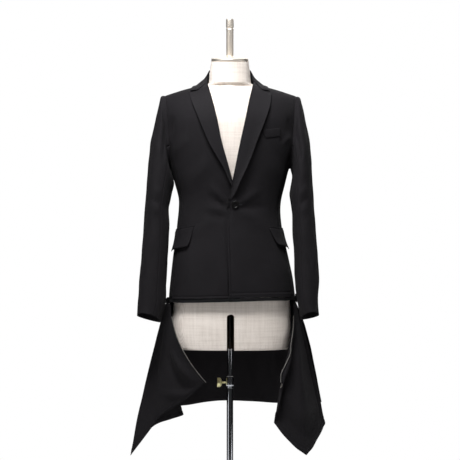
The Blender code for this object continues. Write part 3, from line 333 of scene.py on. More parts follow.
Section = namedtuple("Section", "z left right front back")
JACKET = (
    Section(0.800, 0.1915, 0.1790, 0.128, 0.128),
    Section(0.826, 0.1920, 0.1797, 0.129, 0.130),
    Section(0.882, 0.1853, 0.1745, 0.127, 0.128),
    Section(0.934, 0.1740, 0.1685, 0.122, 0.121),
    Section(0.990, 0.1605, 0.1605, 0.115, 0.109),
    Section(1.045, 0.1513, 0.1549, 0.109, 0.098),
    Section(1.085, 0.1481, 0.1503, 0.107, 0.093),
    Section(1.120, 0.1520, 0.1508, 0.109, 0.094),
    Section(1.165, 0.1635, 0.1630, 0.115, 0.101),
    Section(1.205, 0.1735, 0.1745, 0.119, 0.107),
    Section(1.274, 0.1947, 0.1910, 0.123, 0.114),
    Section(1.330, 0.2000, 0.1960, 0.122, 0.117),
    Section(1.390, 0.2050, 0.2005, 0.117, 0.115),
    Section(1.430, 0.2110, 0.2060, 0.112, 0.109),
    Section(1.480, 0.2120, 0.2070, 0.108, 0.103),
)
FORM = (
    Section(0.670, 0.1714, 0.1655, 0.104, 0.108),
    Section(0.690, 0.1752, 0.1690, 0.107, 0.111),
    Section(0.735, 0.1800, 0.1705, 0.111, 0.116),
    Section(0.800, 0.1780, 0.1675, 0.112, 0.119),
    Section(0.860, 0.1720, 0.1640, 0.110, 0.117),
    Section(0.934, 0.1610, 0.1560, 0.106, 0.109),
    Section(1.000, 0.1480, 0.1490, 0.100, 0.096),
    Section(1.085, 0.1380, 0.1400, 0.096, 0.083),
    Section(1.165, 0.1500, 0.1500, 0.104, 0.090),
    Section(1.230, 0.1600, 0.1580, 0.110, 0.098),
    Section(1.300, 0.1660, 0.1640, 0.111, 0.104),
    Section(1.360, 0.1680, 0.1660, 0.108, 0.105),
    Section(1.400, 0.1660, 0.1640, 0.103, 0.101),
    Section(1.447, 0.1600, 0.1580, 0.097, 0.093),
)
JACKET_READ, FORM_READ = columns_of(JACKET), columns_of(FORM)

Edge = namedtuple("Edge", "z left right")
FRONT_EDGE = (
    Edge(0.800, 0.0000, 0.0300),
    Edge(1.041, -0.0070, 0.0300),
    Edge(1.0895, -0.0090, 0.0290),
    Edge(1.106, -0.0050, 0.0250),
    Edge(1.174, 0.0085, 0.0061),
    Edge(1.203, 0.0147, -0.0020),
    Edge(1.2755, 0.0293, -0.0226),
    Edge(1.342, 0.0437, -0.0362),
    Edge(1.400, 0.0555, -0.0500),
    Edge(1.4575, 0.0690, -0.0665),
)
LAPEL_EDGE = (
    Edge(1.109, 0.0010, 0.0225),
    Edge(1.131, 0.0150, 0.0165),
    Edge(1.165, 0.0292, -0.0010),
    Edge(1.203, 0.0466, -0.0175),
    Edge(1.238, 0.0611, -0.0375),
    Edge(1.2785, 0.0757, -0.0600),
    Edge(1.316, 0.0901, -0.0757),
    Edge(1.346, 0.1018, -0.0880),
    Edge(1.379, 0.1136, -0.1025),
    Edge(1.4115, 0.1195, -0.1150),
    Edge(1.4255, 0.1200, -0.1172),
)
FRONT_EDGE_READ, LAPEL_EDGE_READ = columns_of(FRONT_EDGE), columns_of(LAPEL_EDGE)


# %% The surface of the trunk
def measure(body, name, z):
    """A half width or a depth at z. The jacket's is that of its lining side."""
    return body[name](z) - (CLOTH if body is JACKET_READ else 0)


def ridge(x, body):
    """How high the shoulder is at x. The form's is lower under the cloth, and more under the shoulder pad."""
    padded = SHOULDER_PAD * eased((abs(x) - 0.085) / 0.07)
    lining = NECK_Z - SHOULDER_SLOPE * (abs(x) - NECK_X) + padded - CLOTH
    return lining if body is JACKET_READ else lining - 0.0042 - 0.007 * eased((abs(x) - 0.095) / 0.09)


def shoulder_depth(x):
    """How far the shoulder's rounding goes on below the ridge."""
    return 0.14 - 0.275 * min(abs(x), 0.2)


def depth(body, face, x, z):
    """How far the trunk reaches in front of or behind the side line at x and z."""
    across = min(abs(x) / measure(body, side_of(x), z), 1.0)
    below = clamp((ridge(x, body) - z) / shoulder_depth(x))
    return measure(body, face, z) * (1 - across**ROUND) ** (1 / ROUND) * math.sqrt(1 - (1 - below) ** 2)


def around(body, angle, half, z):
    """A point of a section: the angle is 0 at the centre front and grows towards the wearer's left."""
    x = math.copysign(half * abs(math.sin(angle)) ** (2 / ROUND), math.sin(angle))
    face, way = ("front", -1) if math.cos(angle) >= 0 else ("back", 1)
    return Vector((x, MIDDLE_Y + way * depth(body, face, x, z), z))


def bare(angle, z):
    """A point on the jacket's lining side."""
    return around(JACKET_READ, angle, measure(JACKET_READ, side_of(math.sin(angle)), z), z)


def wrap(angle, z, lift=0.0):
    """A point on the jacket's lining side, moved out of the cloth by lift."""
    point = bare(angle, z)
    if lift == 0:
        return point
    step, drop = 0.004, 0.0006
    beside = bare(angle + step, z) - bare(angle - step, z)
    below = bare(angle, z - drop) - point
    return point + below.cross(beside).normalized() * lift


def angle_of(face, x, z):
    turn = math.asin(min(abs(x) / measure(JACKET_READ, side_of(x), z), 1.0) ** (ROUND / 2))
    turn = turn if face == "front" else math.pi - turn
    return turn if x >= 0 else -turn


def on_body(face, x, z, lift=0.0):
    return wrap(angle_of(face, x, z), z, lift)


# %% The shoulders from above, and the edges of the panels
def over_shoulder(x, y):
    """The height of the lining side at x and y, where the trunk is seen from above."""
    face = "front" if y < MIDDLE_Y else "back"
    z = ridge(x, JACKET_READ)
    for _ in range(8):
        across = min(abs(x) / measure(JACKET_READ, side_of(x), z), 0.99)
        full = measure(JACKET_READ, face, z) * (1 - across**ROUND) ** (1 / ROUND)
        share = min(abs(y - MIDDLE_Y) / full, 0.98)
        z = ridge(x, JACKET_READ) - shoulder_depth(x) * (1 - math.sqrt(1 - share * share))
    return z


def clear_of_shoulder(point, lift):
    """The point, raised where it would be nearer to the lining side than lift."""
    step = 0.002
    z = over_shoulder(point.x, point.y)
    slope_x = (over_shoulder(point.x + step, point.y) - z) / step
    slope_y = (over_shoulder(point.x, point.y + step) - z) / step
    above = lift * math.sqrt(1 + slope_x**2 + slope_y**2)
    return Vector((point.x, point.y, max(point.z, z + above)))


def armhole_x(side, z):
    return measure(JACKET_READ, side, z) - ARMHOLE_IN * clamp((z - ARMHOLE_Z) / ARMHOLE_RISE)


def panel_x(side, z):
    return min(measure(JACKET_READ, side, z) * math.sin(SEAM_ANGLE) ** (2 / ROUND), armhole_x(side, z))


def shoulder_end(side):
    z = NECK_Z
    for _ in range(12):
        z = ridge(armhole_x(side, z), JACKET_READ)
    return armhole_x(side, z), z


def low_edge(x):
    return HEM_Z + HEM_TILT * x


def overlap_lift(x, z):
    """How far the upper front stands off the body where it lies on the under one, and on its lapel."""
    on_front = (CLOTH + SEAM) * eased((0.080 - x) / 0.040)
    by_height = eased((z - 1.070) / 0.045) * (1 - eased((z - 1.180) / 0.075))
    return on_front + (CLOTH + 0.0028) * by_height * eased((0.058 - x) / 0.045)


print("shoulder ends at", [round(v, 4) for v in shoulder_end("left")])

# %% [markdown]
# ## Creases
#
# Cloth that hangs is never even. A crease is a soft ridge or trough along a line: a table gives its two
# ends, its width and its height, in the piece's own flat coordinates, and it fades out at both ends. Only
# the largest ones that the photograph shows are listed, and a slow noise makes the rest of the cloth
# slightly uneven.

# %% Creases, slow waves and pressed edges
Crease = namedtuple("Crease", "a0 b0 a1 b1 width height")
PRESSED = 0.0016


def creases_at(creases, a, b):
    """The height of all the creases at a place of the piece."""
    total = 0.0
    for c in creases:
        run_a, run_b = c.a1 - c.a0, c.b1 - c.b0
        t = clamp(((a - c.a0) * run_a + (b - c.b0) * run_b) / (run_a**2 + run_b**2))
        away = math.hypot(a - c.a0 - run_a * t, b - c.b0 - run_b * t)
        total += c.height * math.sin(math.pi * mix(0.04, 0.96, t)) ** 0.7 * bump(away, c.width)
    return total


def uneven(point, size, height, seed=0.0):
    """A slow wave in the cloth, of about that size."""
    return height * noise.noise(Vector(point) / size + Vector((seed, 7.3, 1.9)))


def pressed_steps(count, length=0.2):
    """Shares across a piece of that length, with extra lines near both edges for the pressed seams."""
    near = PRESSED / length
    inner = [mix(3.5 * near, 1 - 3.5 * near, share) for share in shares(count)]
    return [0, near, 2.2 * near, *inner, 1 - 2.2 * near, 1 - near, 1]


def seam_dip(column, length=0.2):
    """How far a pressed edge turns in, by its share across the piece."""
    return -0.0007 * bump(min(column, 1 - column) * length, PRESSED)


# %% Sheets of cloth
def net_faces(lines, wide, ring=False):
    """The faces between rows of points. In a ring the last column meets the first."""
    faces = []
    for r in range(lines - 1):
        for c in range(wide if ring else wide - 1):
            right = (c + 1) % wide
            faces.append((r * wide + c, r * wide + right, (r + 1) * wide + right, (r + 1) * wide + c))
    return faces


def shell(name, rows, towards, finish, thick, node, probe=None):
    """A sheet of cloth through rows of points, thickened to the side that it is seen from.

    The face in the middle, or else the one that probe numbers, tells which side that is.
    """
    wide = len(rows[0])
    faces = net_faces(len(rows), wide)
    points = [point for row in rows for point in row]
    probe = (len(rows) // 2) * (wide - 1) + (wide - 1) // 2 if probe is None else probe
    a, b, _, d = (points[k] for k in faces[probe])
    if (b - a).cross(d - a).dot(Vector(towards)) < 0:
        faces = [face[::-1] for face in faces]
    mesh = bpy.data.meshes.new(name)
    mesh.from_pydata([tuple(p) for p in points], [], faces)
    return dress(name, mesh, finish, thick, node)


def dress(name, mesh, finish, thick, node):
    """Gives a mesh its finish and thickness, and puts it on the figure."""
    made = linked(name, mesh)
    mesh.materials.append(finish)
    if thick:
        wall = made.modifiers.new("cloth", "SOLIDIFY")
        wall.thickness, wall.offset = thick, 1
        settle(made)
    made.data.shade_smooth()
    return mounted(made, "figure", node)


def mounted(made, body, node):
    """Puts an object on a body, in place of a CAD node if one is named."""
    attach(made, body)
    if node:
        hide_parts(node)
    return made


def settle(made):
    """Applies the modifiers of an object to its mesh."""
    shape = bpy.data.meshes.new_from_object(made.evaluated_get(bpy.context.evaluated_depsgraph_get()))
    made.modifiers.clear()
    made.data = shape


def area_of(made):
    """The area of one face of a thickened sheet."""
    return sum(face.area for face in made.data.polygons) / 2


# %% [markdown]
# ## Fronts, backs and side bodies
#
# The body is cut in six panels. A front runs from its closing edge and the roll of its lapel to the side
# body, a back from the centre seam, and the side body fills in under the arm. Each panel is a net of lines
# on the trunk's surface. Its lines crowd together at the seams, where the pressed edge turns in by less
# than a millimetre, and that small groove is what makes a seam readable.

# %% The creases of the body, x and z from the front
FRONT_CREASES = {
    "left": (
        Crease(0.020, 1.098, 0.085, 1.138, 0.008, 0.0026),
        Crease(0.022, 1.088, 0.100, 1.090, 0.009, -0.0024),
        Crease(0.018, 1.080, 0.080, 1.058, 0.009, 0.0022),
        Crease(0.030, 1.120, 0.075, 1.200, 0.014, -0.0020),
        Crease(0.050, 1.060, 0.120, 1.020, 0.016, 0.0016),
        Crease(0.148, 1.293, 0.154, 1.277, 0.004, -0.0025),
        Crease(0.154, 1.276, 0.171, 1.297, 0.004, 0.0030),
        Crease(0.100, 1.250, 0.150, 1.170, 0.020, 0.0022),
        Crease(0.120, 0.960, 0.140, 0.850, 0.018, 0.0020),
        Crease(0.170, 1.350, 0.174, 1.296, 0.008, -0.0036),
        Crease(0.040, 0.960, 0.050, 0.840, 0.022, -0.0015),
        Crease(-0.002, 1.094, -0.004, 1.048, 0.005, -0.0040),
    ),
    "right": (
        Crease(-0.006, 1.100, -0.052, 1.150, 0.007, 0.0034),
        Crease(-0.008, 1.088, -0.060, 1.122, 0.006, -0.0030),
        Crease(-0.010, 1.078, -0.075, 1.092, 0.008, 0.0028),
        Crease(-0.010, 1.060, -0.060, 1.066, 0.009, -0.0022),
        Crease(-0.060, 1.230, -0.110, 1.160, 0.018, 0.0022),
        Crease(-0.040, 1.060, -0.110, 1.010, 0.016, 0.0016),
        Crease(-0.120, 1.300, -0.160, 1.240, 0.014, 0.0022),
        Crease(-0.110, 0.960, -0.120, 0.850, 0.018, 0.0018),
        Crease(-0.168, 1.350, -0.172, 1.296, 0.008, -0.0036),
        Crease(-0.050, 0.950, -0.058, 0.840, 0.020, -0.0015),
    ),
}
BACK_CREASES = (
    Crease(0.000, 1.100, 0.110, 1.070, 0.016, 0.0024),
    Crease(-0.010, 1.120, -0.115, 1.080, 0.015, 0.0022),
    Crease(0.020, 1.060, 0.100, 1.030, 0.012, -0.0018),
    Crease(-0.015, 1.055, -0.095, 1.020, 0.013, -0.0018),
    Crease(0.110, 1.330, 0.150, 1.230, 0.016, 0.0026),
    Crease(-0.115, 1.320, -0.148, 1.225, 0.015, 0.0026),
    Crease(-0.060, 1.415, 0.062, 1.418, 0.011, -0.0014),
    Crease(0.085, 0.960, 0.100, 0.850, 0.024, 0.0022),
    Crease(-0.080, 0.970, -0.098, 0.850, 0.024, 0.0020),
)

# %% Rows, closing edge and hem of a panel
# The rows crowd at the hem, for its stitched line, and at the shoulder, where the cloth rounds over.
NEAR_HEM = [0, 0.0045, 0.009, 0.0125, 0.016, 0.0195, 0.023, 0.027, 0.031, 0.035, 0.040]
BODY_ROWS = [("low", share) for share in NEAR_HEM + shares(44)[2:44]]
BODY_ROWS += [("high", 0.3 * k / 8) for k in range(8)]
BODY_ROWS += [("high", 1 - 0.7 * (1 - math.sin(math.pi / 2 * share))) for share in shares(26)]
# Extra columns: the left front's rolled closing edge, and the right front where the left one ends on it
EDGE_COLUMNS = {"left": [0.040, 0.052], "right": [0.135, 0.145, 0.155, 0.165, 0.175, 0.185, 0.195]}
TOPSTITCH = {"left": 0.0235, "right": 0.0170, "back": 0.0200}


def front_rise(turn):
    """How much higher the hem is in front than the zip line behind, by the angle round the body."""
    degrees = abs(math.degrees(turn))
    return 0.0042 * (eased((95 - degrees) / 80) if turn > 0 else eased((88 - degrees) / 15))


def topstitched(above, height):
    """The sunk line where the hem's facing is sewn on, and the soft swelling below it."""
    return -0.0012 * bump(above - height, 0.0022) + 0.0005 * bump(above - height + 0.0045, 0.0025)


def front_lift(side, x, z, column):
    """How far a front stands off the trunk: the overlap, the creases, its seams and its closing edge."""
    calm = 1 - eased((z - 1.38) / 0.05)
    lift = overlap_lift(x, z) if side == "left" else 0.0
    slow = uneven((x, 0, z), 0.05, 0.0010, SIGN[side])
    lift += calm * (1.7 * creases_at(FRONT_CREASES[side], x, z) + 0.0008 + slow)
    lift += seam_dip(column) * (0.4 if column < 0.5 else 1)
    below_button, away = eased((1.075 - z) / 0.02), x - FRONT_EDGE_READ["left"](z)
    if side == "left":
        roll, groove = bump(away - 0.0015, 0.0025), bump(away - 0.0065, 0.0022)
        return lift + below_button * (0.0012 * roll - 0.0010 * groove)
    return lift - 0.0024 * below_button * bump(away + 0.0010, 0.0026)


# %% The fronts
def make_front(side):
    sign, edge_x, rows = SIGN[side], FRONT_EDGE_READ[side], []
    neck_z, end_z = ridge(NECK_X, JACKET_READ), shoulder_end(side)[1]
    for part, share in BODY_ROWS:
        row = []
        for column in sorted(pressed_steps(26) + EDGE_COLUMNS[side]):
            rough = sign * mix(sign * edge_x(HEM_Z), panel_x(side, CHEST_Z), column)
            hem = low_edge(rough) + front_rise(angle_of("front", rough, HEM_Z))
            if part == "low":
                z = inner_z = outer_z = mix(hem + ZIP_TAPE, CHEST_Z, share)
            else:
                inner_z, outer_z = mix(CHEST_Z, neck_z, share), mix(CHEST_Z, end_z, share)
                z = mix(inner_z, outer_z, column)
            x = sign * mix(sign * edge_x(inner_z), panel_x(side, outer_z) - SEAM / 2, column)
            if part == "high" and share == 1:
                z = ridge(x, JACKET_READ)
            lift = front_lift(side, x, z, column) + topstitched(z - hem, TOPSTITCH[side])
            row.append(on_body("front", x, z, max(lift, -0.0045)) - Vector((0, SEAM / 2, 0)))
        rows.append(row)
    return shell(f"front_{side}_cloth", rows, (0, -1, 0), worsted, CLOTH, f"front_{side}")


# %% The backs
def back_neckline(x):
    return BACK_NECK_Z + (ridge(NECK_X, JACKET_READ) - BACK_NECK_Z) * (x / NECK_X) ** 2


def make_back(side):
    sign, rows = SIGN[side], []
    end_x, end_z = shoulder_end(side)
    for part, share in BODY_ROWS:
        row = []
        for column in pressed_steps(26):
            top_x = end_x * column
            top_z = back_neckline(top_x) if top_x < NECK_X else ridge(top_x, JACKET_READ)
            if part == "low":
                rough = sign * panel_x(side, CHEST_Z) * column
                z = outer_z = mix(low_edge(rough) + ZIP_TAPE, CHEST_Z, share)
            else:
                z, outer_z = mix(CHEST_Z, top_z, share), mix(CHEST_Z, end_z, share)
            x = sign * mix(SEAM / 2, panel_x(side, outer_z) - SEAM / 2, column)
            if part == "high" and share == 1 and abs(x) > NECK_X:
                z = ridge(x, JACKET_READ)
            calm = 1 - eased((z - 1.40) / 0.04)
            slow = uneven((x, 0, z), 0.05, 0.0010, 4)
            lift = calm * (1.5 * creases_at(BACK_CREASES, x, z) + 0.0008 + slow)
            lift += seam_dip(column) + topstitched(z - low_edge(x), TOPSTITCH["back"])
            row.append(on_body("back", x, z, max(lift, -0.0012)) + Vector((0, SEAM / 2, 0)))
        rows.append(row)
    return shell(f"back_{side}_cloth", rows, (0, 1, 0), worsted, CLOTH, f"back_{side}")


# %% The side bodies
def armhole_top(side, angle):
    """The height at which the line up the side body at that angle meets the armhole."""
    low, high = ARMHOLE_Z, ARMHOLE_Z + ARMHOLE_RISE
    for _ in range(30):
        z = (low + high) / 2
        outside = armhole_x(side, z) > measure(JACKET_READ, side, z) * math.sin(angle) ** (2 / ROUND)
        low, high = (z, high) if outside else (low, z)
    return low


def make_side(side):
    sign, gap, lines = SIGN[side], 0.0024, []
    bottom = low_edge(sign * measure(JACKET_READ, side, HEM_Z)) + ZIP_TAPE
    for column in pressed_steps(12, length=0.11):
        angle = mix(SEAM_ANGLE + gap, math.pi - SEAM_ANGLE - gap, column)
        top = armhole_top(side, angle) + 0.0020 * math.sin(math.pi * column) ** 0.5 - 0.0006
        line = []
        for share in shares(44):
            z = mix(bottom + front_rise(sign * angle), top, share)
            lift = 0.0006 + uneven((angle * 0.1, 0, z), 0.05, 0.0010, 9) + seam_dip(column, 0.11)
            line.append(wrap(sign * angle, z, max(lift, -0.0012)))
        lines.append(line)
    rows = [list(row) for row in zip(*lines)]
    return shell(f"side_{side}_cloth", rows, (sign, 0, 0), worsted, CLOTH, f"side_{side}")


# %% The six panels in place
for side in SIGN:
    for made in (make_front(side), make_back(side), make_side(side)):
        print(made.name, round(area_of(made), 4), "square metres")

# %% [markdown]
# ## Lapels and collar
#
# The front facing folds back at the roll line and lies on the chest as a lapel, and the collar's leaf
# carries on from it round the neck. The seam between them, the gorge, ends in a notch. Both are pressed
# thin at the edges and belly out softly in between, because canvas inside them springs.


# %% The lapels
def make_lapel(side):
    sign = SIGN[side]
    top_z, corner_z, low_z = GORGE_Z - 0.0009, LAPEL_CORNER[side][1], 1.112 if side == "left" else 1.128
    dip = NOTCH_Z - 0.0009 - (top_z + corner_z) / 2
    rows = []
    for share in shares(80)[:73] + [0.9 + 0.1 * math.sin(math.pi / 2 * near) for near in shares(14)[1:]]:
        roll_z, edge_z = mix(low_z, top_z, share), mix(low_z, corner_z, share)
        roll_x, edge_x = sign * FRONT_EDGE_READ[side](roll_z), sign * LAPEL_EDGE_READ[side](edge_z)
        row = []
        for column in [0, 0.02, 0.05, *shares(12)[1:12], 0.955, 0.985, 1]:
            x, z = mix(roll_x, edge_x, column), mix(roll_z, edge_z, column)
            z += dip * (1 - abs(2 * column - 1)) * share**6
            belly = 0.0030 * math.sin(math.pi * column**0.8) * eased((share - 0.1) / 0.3) * (1 - share**5)
            roll = 0.0012 * bump(column, 0.06)
            stand_off = (0.0088 + 0.0030 * (1 - share)) * column**3 * eased(share / 0.12) * (1 - share**9)
            lift = ON_CLOTH + belly + roll + stand_off
            lift += overlap_lift(sign * x, z) if side == "left" else 0.0
            row.append(on_body("front", sign * x, z, lift))
        rows.append(row)
    return shell(f"lapel_{side}_facing", rows, (0, -1, 0), pressed, CLOTH, f"lapel_{side}")


for side in SIGN:
    print(make_lapel(side).name)

# %% The measures of the collar's leaf and stand
CollarStation = namedtuple("CollarStation", "fold_x fold_y fold_z mid_x mid_y mid_z edge_x edge_y")
COLLAR = (
    CollarStation(0.0672, -0.0170, 1.4585, 0.0935, -0.0475, 1.4362, 0.1150, -0.0490),
    CollarStation(0.0664, 0.0010, 1.4695, 0.0835, -0.0040, 1.4600, 0.1060, 0.0050),
    CollarStation(0.0645, 0.0150, 1.4835, 0.0785, 0.0225, 1.4665, 0.0975, 0.0270),
    CollarStation(0.0590, 0.0310, 1.4965, 0.0690, 0.0400, 1.4730, 0.0830, 0.0450),
    CollarStation(0.0430, 0.0490, 1.5010, 0.0490, 0.0590, 1.4740, 0.0560, 0.0610),
    CollarStation(0.0000, 0.0570, 1.5030, 0.0000, 0.0675, 1.4770, 0.0000, 0.0735),
)
StandStation = namedtuple("StandStation", "seam_x top_x top_y top_z")
STAND = (
    StandStation(0.0688, 0.0653, 0.0080, 1.4690),
    StandStation(0.0650, 0.0612, 0.0205, 1.4830),
    StandStation(0.0520, 0.0505, 0.0365, 1.4925),
    StandStation(0.0300, 0.0290, 0.0495, 1.4960),
    StandStation(0.0000, 0.0000, 0.0540, 1.4975),
)


# %% The collar's leaf and stand
def mirrored(point, sign):
    return Vector((sign * point[0], point[1], point[2]))


def leaf_stations(side):
    """The collar's leaf from the gorge to the centre back, five points across at each station."""
    sign = SIGN[side]
    start = abs(FRONT_EDGE_READ[side](GORGE_Z))
    notch = ((start + LAPEL_CORNER[side][0]) / 2, NOTCH_Z)
    first = []
    for u in (0.0, 0.5, 1.0):
        x, z = mix(start, notch[0], u), mix(GORGE_Z, notch[1], u)
        over = overlap_lift(x, z) if side == "left" else 0.0
        first.append(on_body("front", sign * x, z, ON_CLOTH + over))
    x, y = sign * COLLAR[0].edge_x, COLLAR[0].edge_y
    corner = Vector((x, y, over_shoulder(x, y)))
    stations = [(*first, mix(first[2], corner, 0.5), corner)]
    for row in COLLAR[1:]:
        x, y = sign * row.edge_x, row.edge_y
        line = [mirrored(row[0:3], sign), mirrored(row[3:6], sign), Vector((x, y, over_shoulder(x, y)))]
        stations.append(tuple(along(line, share / 4) for share in range(5)))
    return stations


def make_leaf():
    stations = leaf_stations("right") + leaf_stations("left")[-2::-1]
    rows = []
    for share in shares(120):
        line = [along([station[j] for station in stations], share) for j in range(5)]
        end = bump(min(share, 1 - share), 0.05)
        rows.append([clear_of_shoulder(along(line, column), ON_CLOTH + 0.0004 + 0.0024 * end * column)
                     for column in shares(16)])
    return shell("collar_leaf_cloth", rows, (0, 1, 0), pressed, CLOTH, "collar_fall")


def make_stand():
    halves = {}
    for side, sign in SIGN.items():
        halves[side] = []
        for row in STAND:
            edge = on_body("back", sign * row.seam_x, back_neckline(row.seam_x))
            inward = Vector((-edge.x, -edge.y, 0)).normalized()
            seam = edge + inward * (STAND_CLOTH + 0.0012) + Vector((0, 0, 0.0007))
            halves[side].append((seam, mirrored(row[1:4], sign)))
    stations = halves["right"] + halves["left"][-2::-1]
    rows = []
    for share in shares(80):
        seam, top = (along([station[j] for station in stations], share) for j in range(2))
        rows.append([mix(seam, top, column) for column in shares(6)])
    return shell("collar_stand_cloth", rows, (0, 1, 0), pressed, STAND_CLOTH, "collar_stand")


for made in (make_leaf(), make_stand()):
    print(made.name, round(area_of(made), 4))

# %% [markdown]
# ## Sleeves
#
# A tailored sleeve has two pieces: the upper sleeve over the outside of the arm and the narrow under sleeve
# next to the body. Its rings follow the arm's bend forward. Between the table's rings the surface runs
# through them smoothly, and creases are placed by the angle around the arm and the height.

# %% The sleeves' rings
SleeveRing = namedtuple("SleeveRing", "outer_x outer_z inner_x inner_z middle_y half_depth")
SLEEVES = {
    "right": (
        SleeveRing(0.2030, 1.4165, 0.1780, 1.2010, 0.004, 0.0600),
        SleeveRing(0.2085, 1.3980, 0.1765, 1.1930, 0.002, 0.0670),
        SleeveRing(0.2165, 1.3560, 0.1700, 1.1820, 0.000, 0.0720),
        SleeveRing(0.2260, 1.3120, 0.1645, 1.1690, -0.003, 0.0740),
        SleeveRing(0.2340, 1.2740, 0.1640, 1.1550, -0.006, 0.0740),
        SleeveRing(0.2400, 1.2150, 0.1705, 1.1320, -0.010, 0.0730),
        SleeveRing(0.2455, 1.1500, 0.1755, 1.1080, -0.014, 0.0700),
        SleeveRing(0.2495, 1.0950, 0.1797, 1.0850, -0.018, 0.0670),
        SleeveRing(0.2525, 1.0450, 0.1774, 1.0450, -0.022, 0.0640),
        SleeveRing(0.2560, 0.9900, 0.1795, 0.9900, -0.029, 0.0610),
        SleeveRing(0.2605, 0.9300, 0.1825, 0.9300, -0.037, 0.0580),
        SleeveRing(0.2655, 0.8700, 0.1855, 0.8700, -0.045, 0.0555),
        SleeveRing(0.2690, 0.8170, 0.1875, 0.8150, -0.053, 0.0535),
        SleeveRing(0.2710, 0.7735, 0.2005, 0.7555, -0.060, 0.0510),
    ),
    "left": (
        SleeveRing(0.2065, 1.4130, 0.1775, 1.2060, 0.004, 0.0600),
        SleeveRing(0.2120, 1.3930, 0.1800, 1.1980, 0.002, 0.0670),
        SleeveRing(0.2200, 1.3560, 0.1822, 1.1900, 0.000, 0.0720),
        SleeveRing(0.2300, 1.3080, 0.1829, 1.1800, -0.003, 0.0740),
        SleeveRing(0.2372, 1.2630, 0.1805, 1.1640, -0.006, 0.0740),
        SleeveRing(0.2410, 1.2100, 0.1775, 1.1450, -0.010, 0.0725),
        SleeveRing(0.2435, 1.1600, 0.1752, 1.1275, -0.014, 0.0700),
        SleeveRing(0.2465, 1.1050, 0.1790, 1.1000, -0.018, 0.0670),
        SleeveRing(0.2505, 1.0550, 0.1829, 1.0650, -0.022, 0.0640),
        SleeveRing(0.2535, 1.0100, 0.1836, 1.0100, -0.028, 0.0610),
        SleeveRing(0.2585, 0.9400, 0.1880, 0.9500, -0.036, 0.0580),
        SleeveRing(0.2605, 0.8776, 0.1890, 0.8850, -0.045, 0.0550),
        SleeveRing(0.2580, 0.8170, 0.1945, 0.8300, -0.053, 0.0525),
        SleeveRing(0.2600, 0.7750, 0.2062, 0.7640, -0.060, 0.0500),
    ),
}
# The forearm leans forward, and the cuff is cut square to it: its front edge is higher than its back edge.
CUFF_TILT = 0.011
# Creases of a sleeve: the angle in radians times 0.05, and the height
SLEEVE_CREASES = (
    Crease(0.085, 1.215, 0.074, 1.335, 0.010, -0.0070),
    Crease(0.055, 1.150, 0.120, 1.110, 0.010, 0.0030),
    Crease(0.050, 1.120, 0.110, 1.090, 0.008, -0.0026),
    Crease(0.060, 1.090, 0.130, 1.060, 0.010, 0.0026),
    Crease(0.100, 1.190, 0.040, 1.290, 0.012, 0.0022),
    Crease(0.020, 1.000, 0.060, 0.900, 0.012, 0.0020),
    Crease(0.080, 0.980, 0.050, 0.860, 0.010, -0.0018),
    Crease(-0.060, 1.200, -0.030, 1.300, 0.012, 0.0022),
    Crease(-0.090, 1.060, -0.040, 1.100, 0.010, 0.0022),
    Crease(-0.040, 0.960, -0.060, 0.850, 0.012, 0.0018),
    Crease(0.010, 1.380, 0.018, 1.250, 0.014, 0.0014),
)


# %% The sleeves' surface
def sleeve_ring(side, number, angle):
    """A point of a sleeve: ring 0 is the armhole. The angle is 0 at the top and grows towards the front."""
    sign = SIGN[side]
    if number == 0:
        z = mix(ARMHOLE_Z, shoulder_end(side)[1], (1 + math.cos(angle)) / 2)
        point = on_body("front" if math.sin(angle) >= 0 else "back", sign * armhole_x(side, z), z)
        return Vector((point.x - sign * 0.0016, point.y, point.z - 0.0004))
    row = SLEEVES[side][number - 1]
    outer = Vector((row.outer_x - CLOTH, 0, row.outer_z))
    inner = Vector((row.inner_x + CLOTH, 0, row.inner_z))
    across = math.copysign(abs(math.cos(angle)) ** 0.92, math.cos(angle))
    forward = math.copysign(abs(math.sin(angle)) ** 0.92, math.sin(angle))
    point = (outer + inner) / 2 + (outer - inner) / 2 * across
    if number == len(SLEEVES[side]):
        point.z += CUFF_TILT * forward + 0.0045 * abs(forward)
    return Vector((sign * point.x, row.middle_y - (row.half_depth - CLOTH) * forward, point.z))


# Each piece of a sleeve runs between two angles in degrees, round a length of about so many metres.
SleevePiece = namedtuple("SleevePiece", "name first last columns length faces")
SLEEVE_PIECES = (
    SleevePiece("upper", -117.5, 111.5, 56, 0.20, 1),
    SleevePiece("under", 112.5, 241.5, 30, 0.11, -1),
)


def sleeve_line(side, piece, column, centres):
    """A line down a sleeve, with the creases moved out along the ring's radius."""
    angle = math.radians(mix(piece.first, piece.last, column))
    turned = (angle + math.pi) % math.tau - math.pi
    rings = [sleeve_ring(side, number, angle) for number in range(len(centres))]
    line = []
    for share in shares(140):
        point, centre = along(rings, share), along(centres, share)
        outward = Vector((point.x - centre.x, point.y - centre.y, 0)).normalized()
        calm = eased(share / 0.10) * (0.4 + 0.6 * eased((1 - share) / 0.05))
        height = creases_at(SLEEVE_CREASES, turned * 0.05, point.z)
        height += uneven(point, 0.045, 0.0016, 3 * SIGN[side])
        height = calm * clamp(height, -0.0060, 0.0035) * eased(min(column, 1 - column) / 0.10)
        if piece.name == "under":
            height = min(height, 0.0)
        line.append(point + outward * (height + seam_dip(column, 0.15)))
    return line


def make_sleeve(side):
    """Both pieces of a sleeve."""
    numbers, made = range(len(SLEEVES[side]) + 1), []
    centres = [(sleeve_ring(side, n, 0) + sleeve_ring(side, n, math.pi)) / 2 for n in numbers]
    for piece in SLEEVE_PIECES:
        columns = pressed_steps(piece.columns, length=piece.length)
        rows = [list(row) for row in zip(*(sleeve_line(side, piece, column, centres) for column in columns))]
        node, towards = f"sleeve_{piece.name}_{side}", (piece.faces * SIGN[side], 0, 0)
        made.append(shell(f"{node}_cloth", rows, towards, worsted, CLOTH, node))
    return made


for side in SIGN:
    for made in make_sleeve(side):
        print(made.name, round(area_of(made), 4))

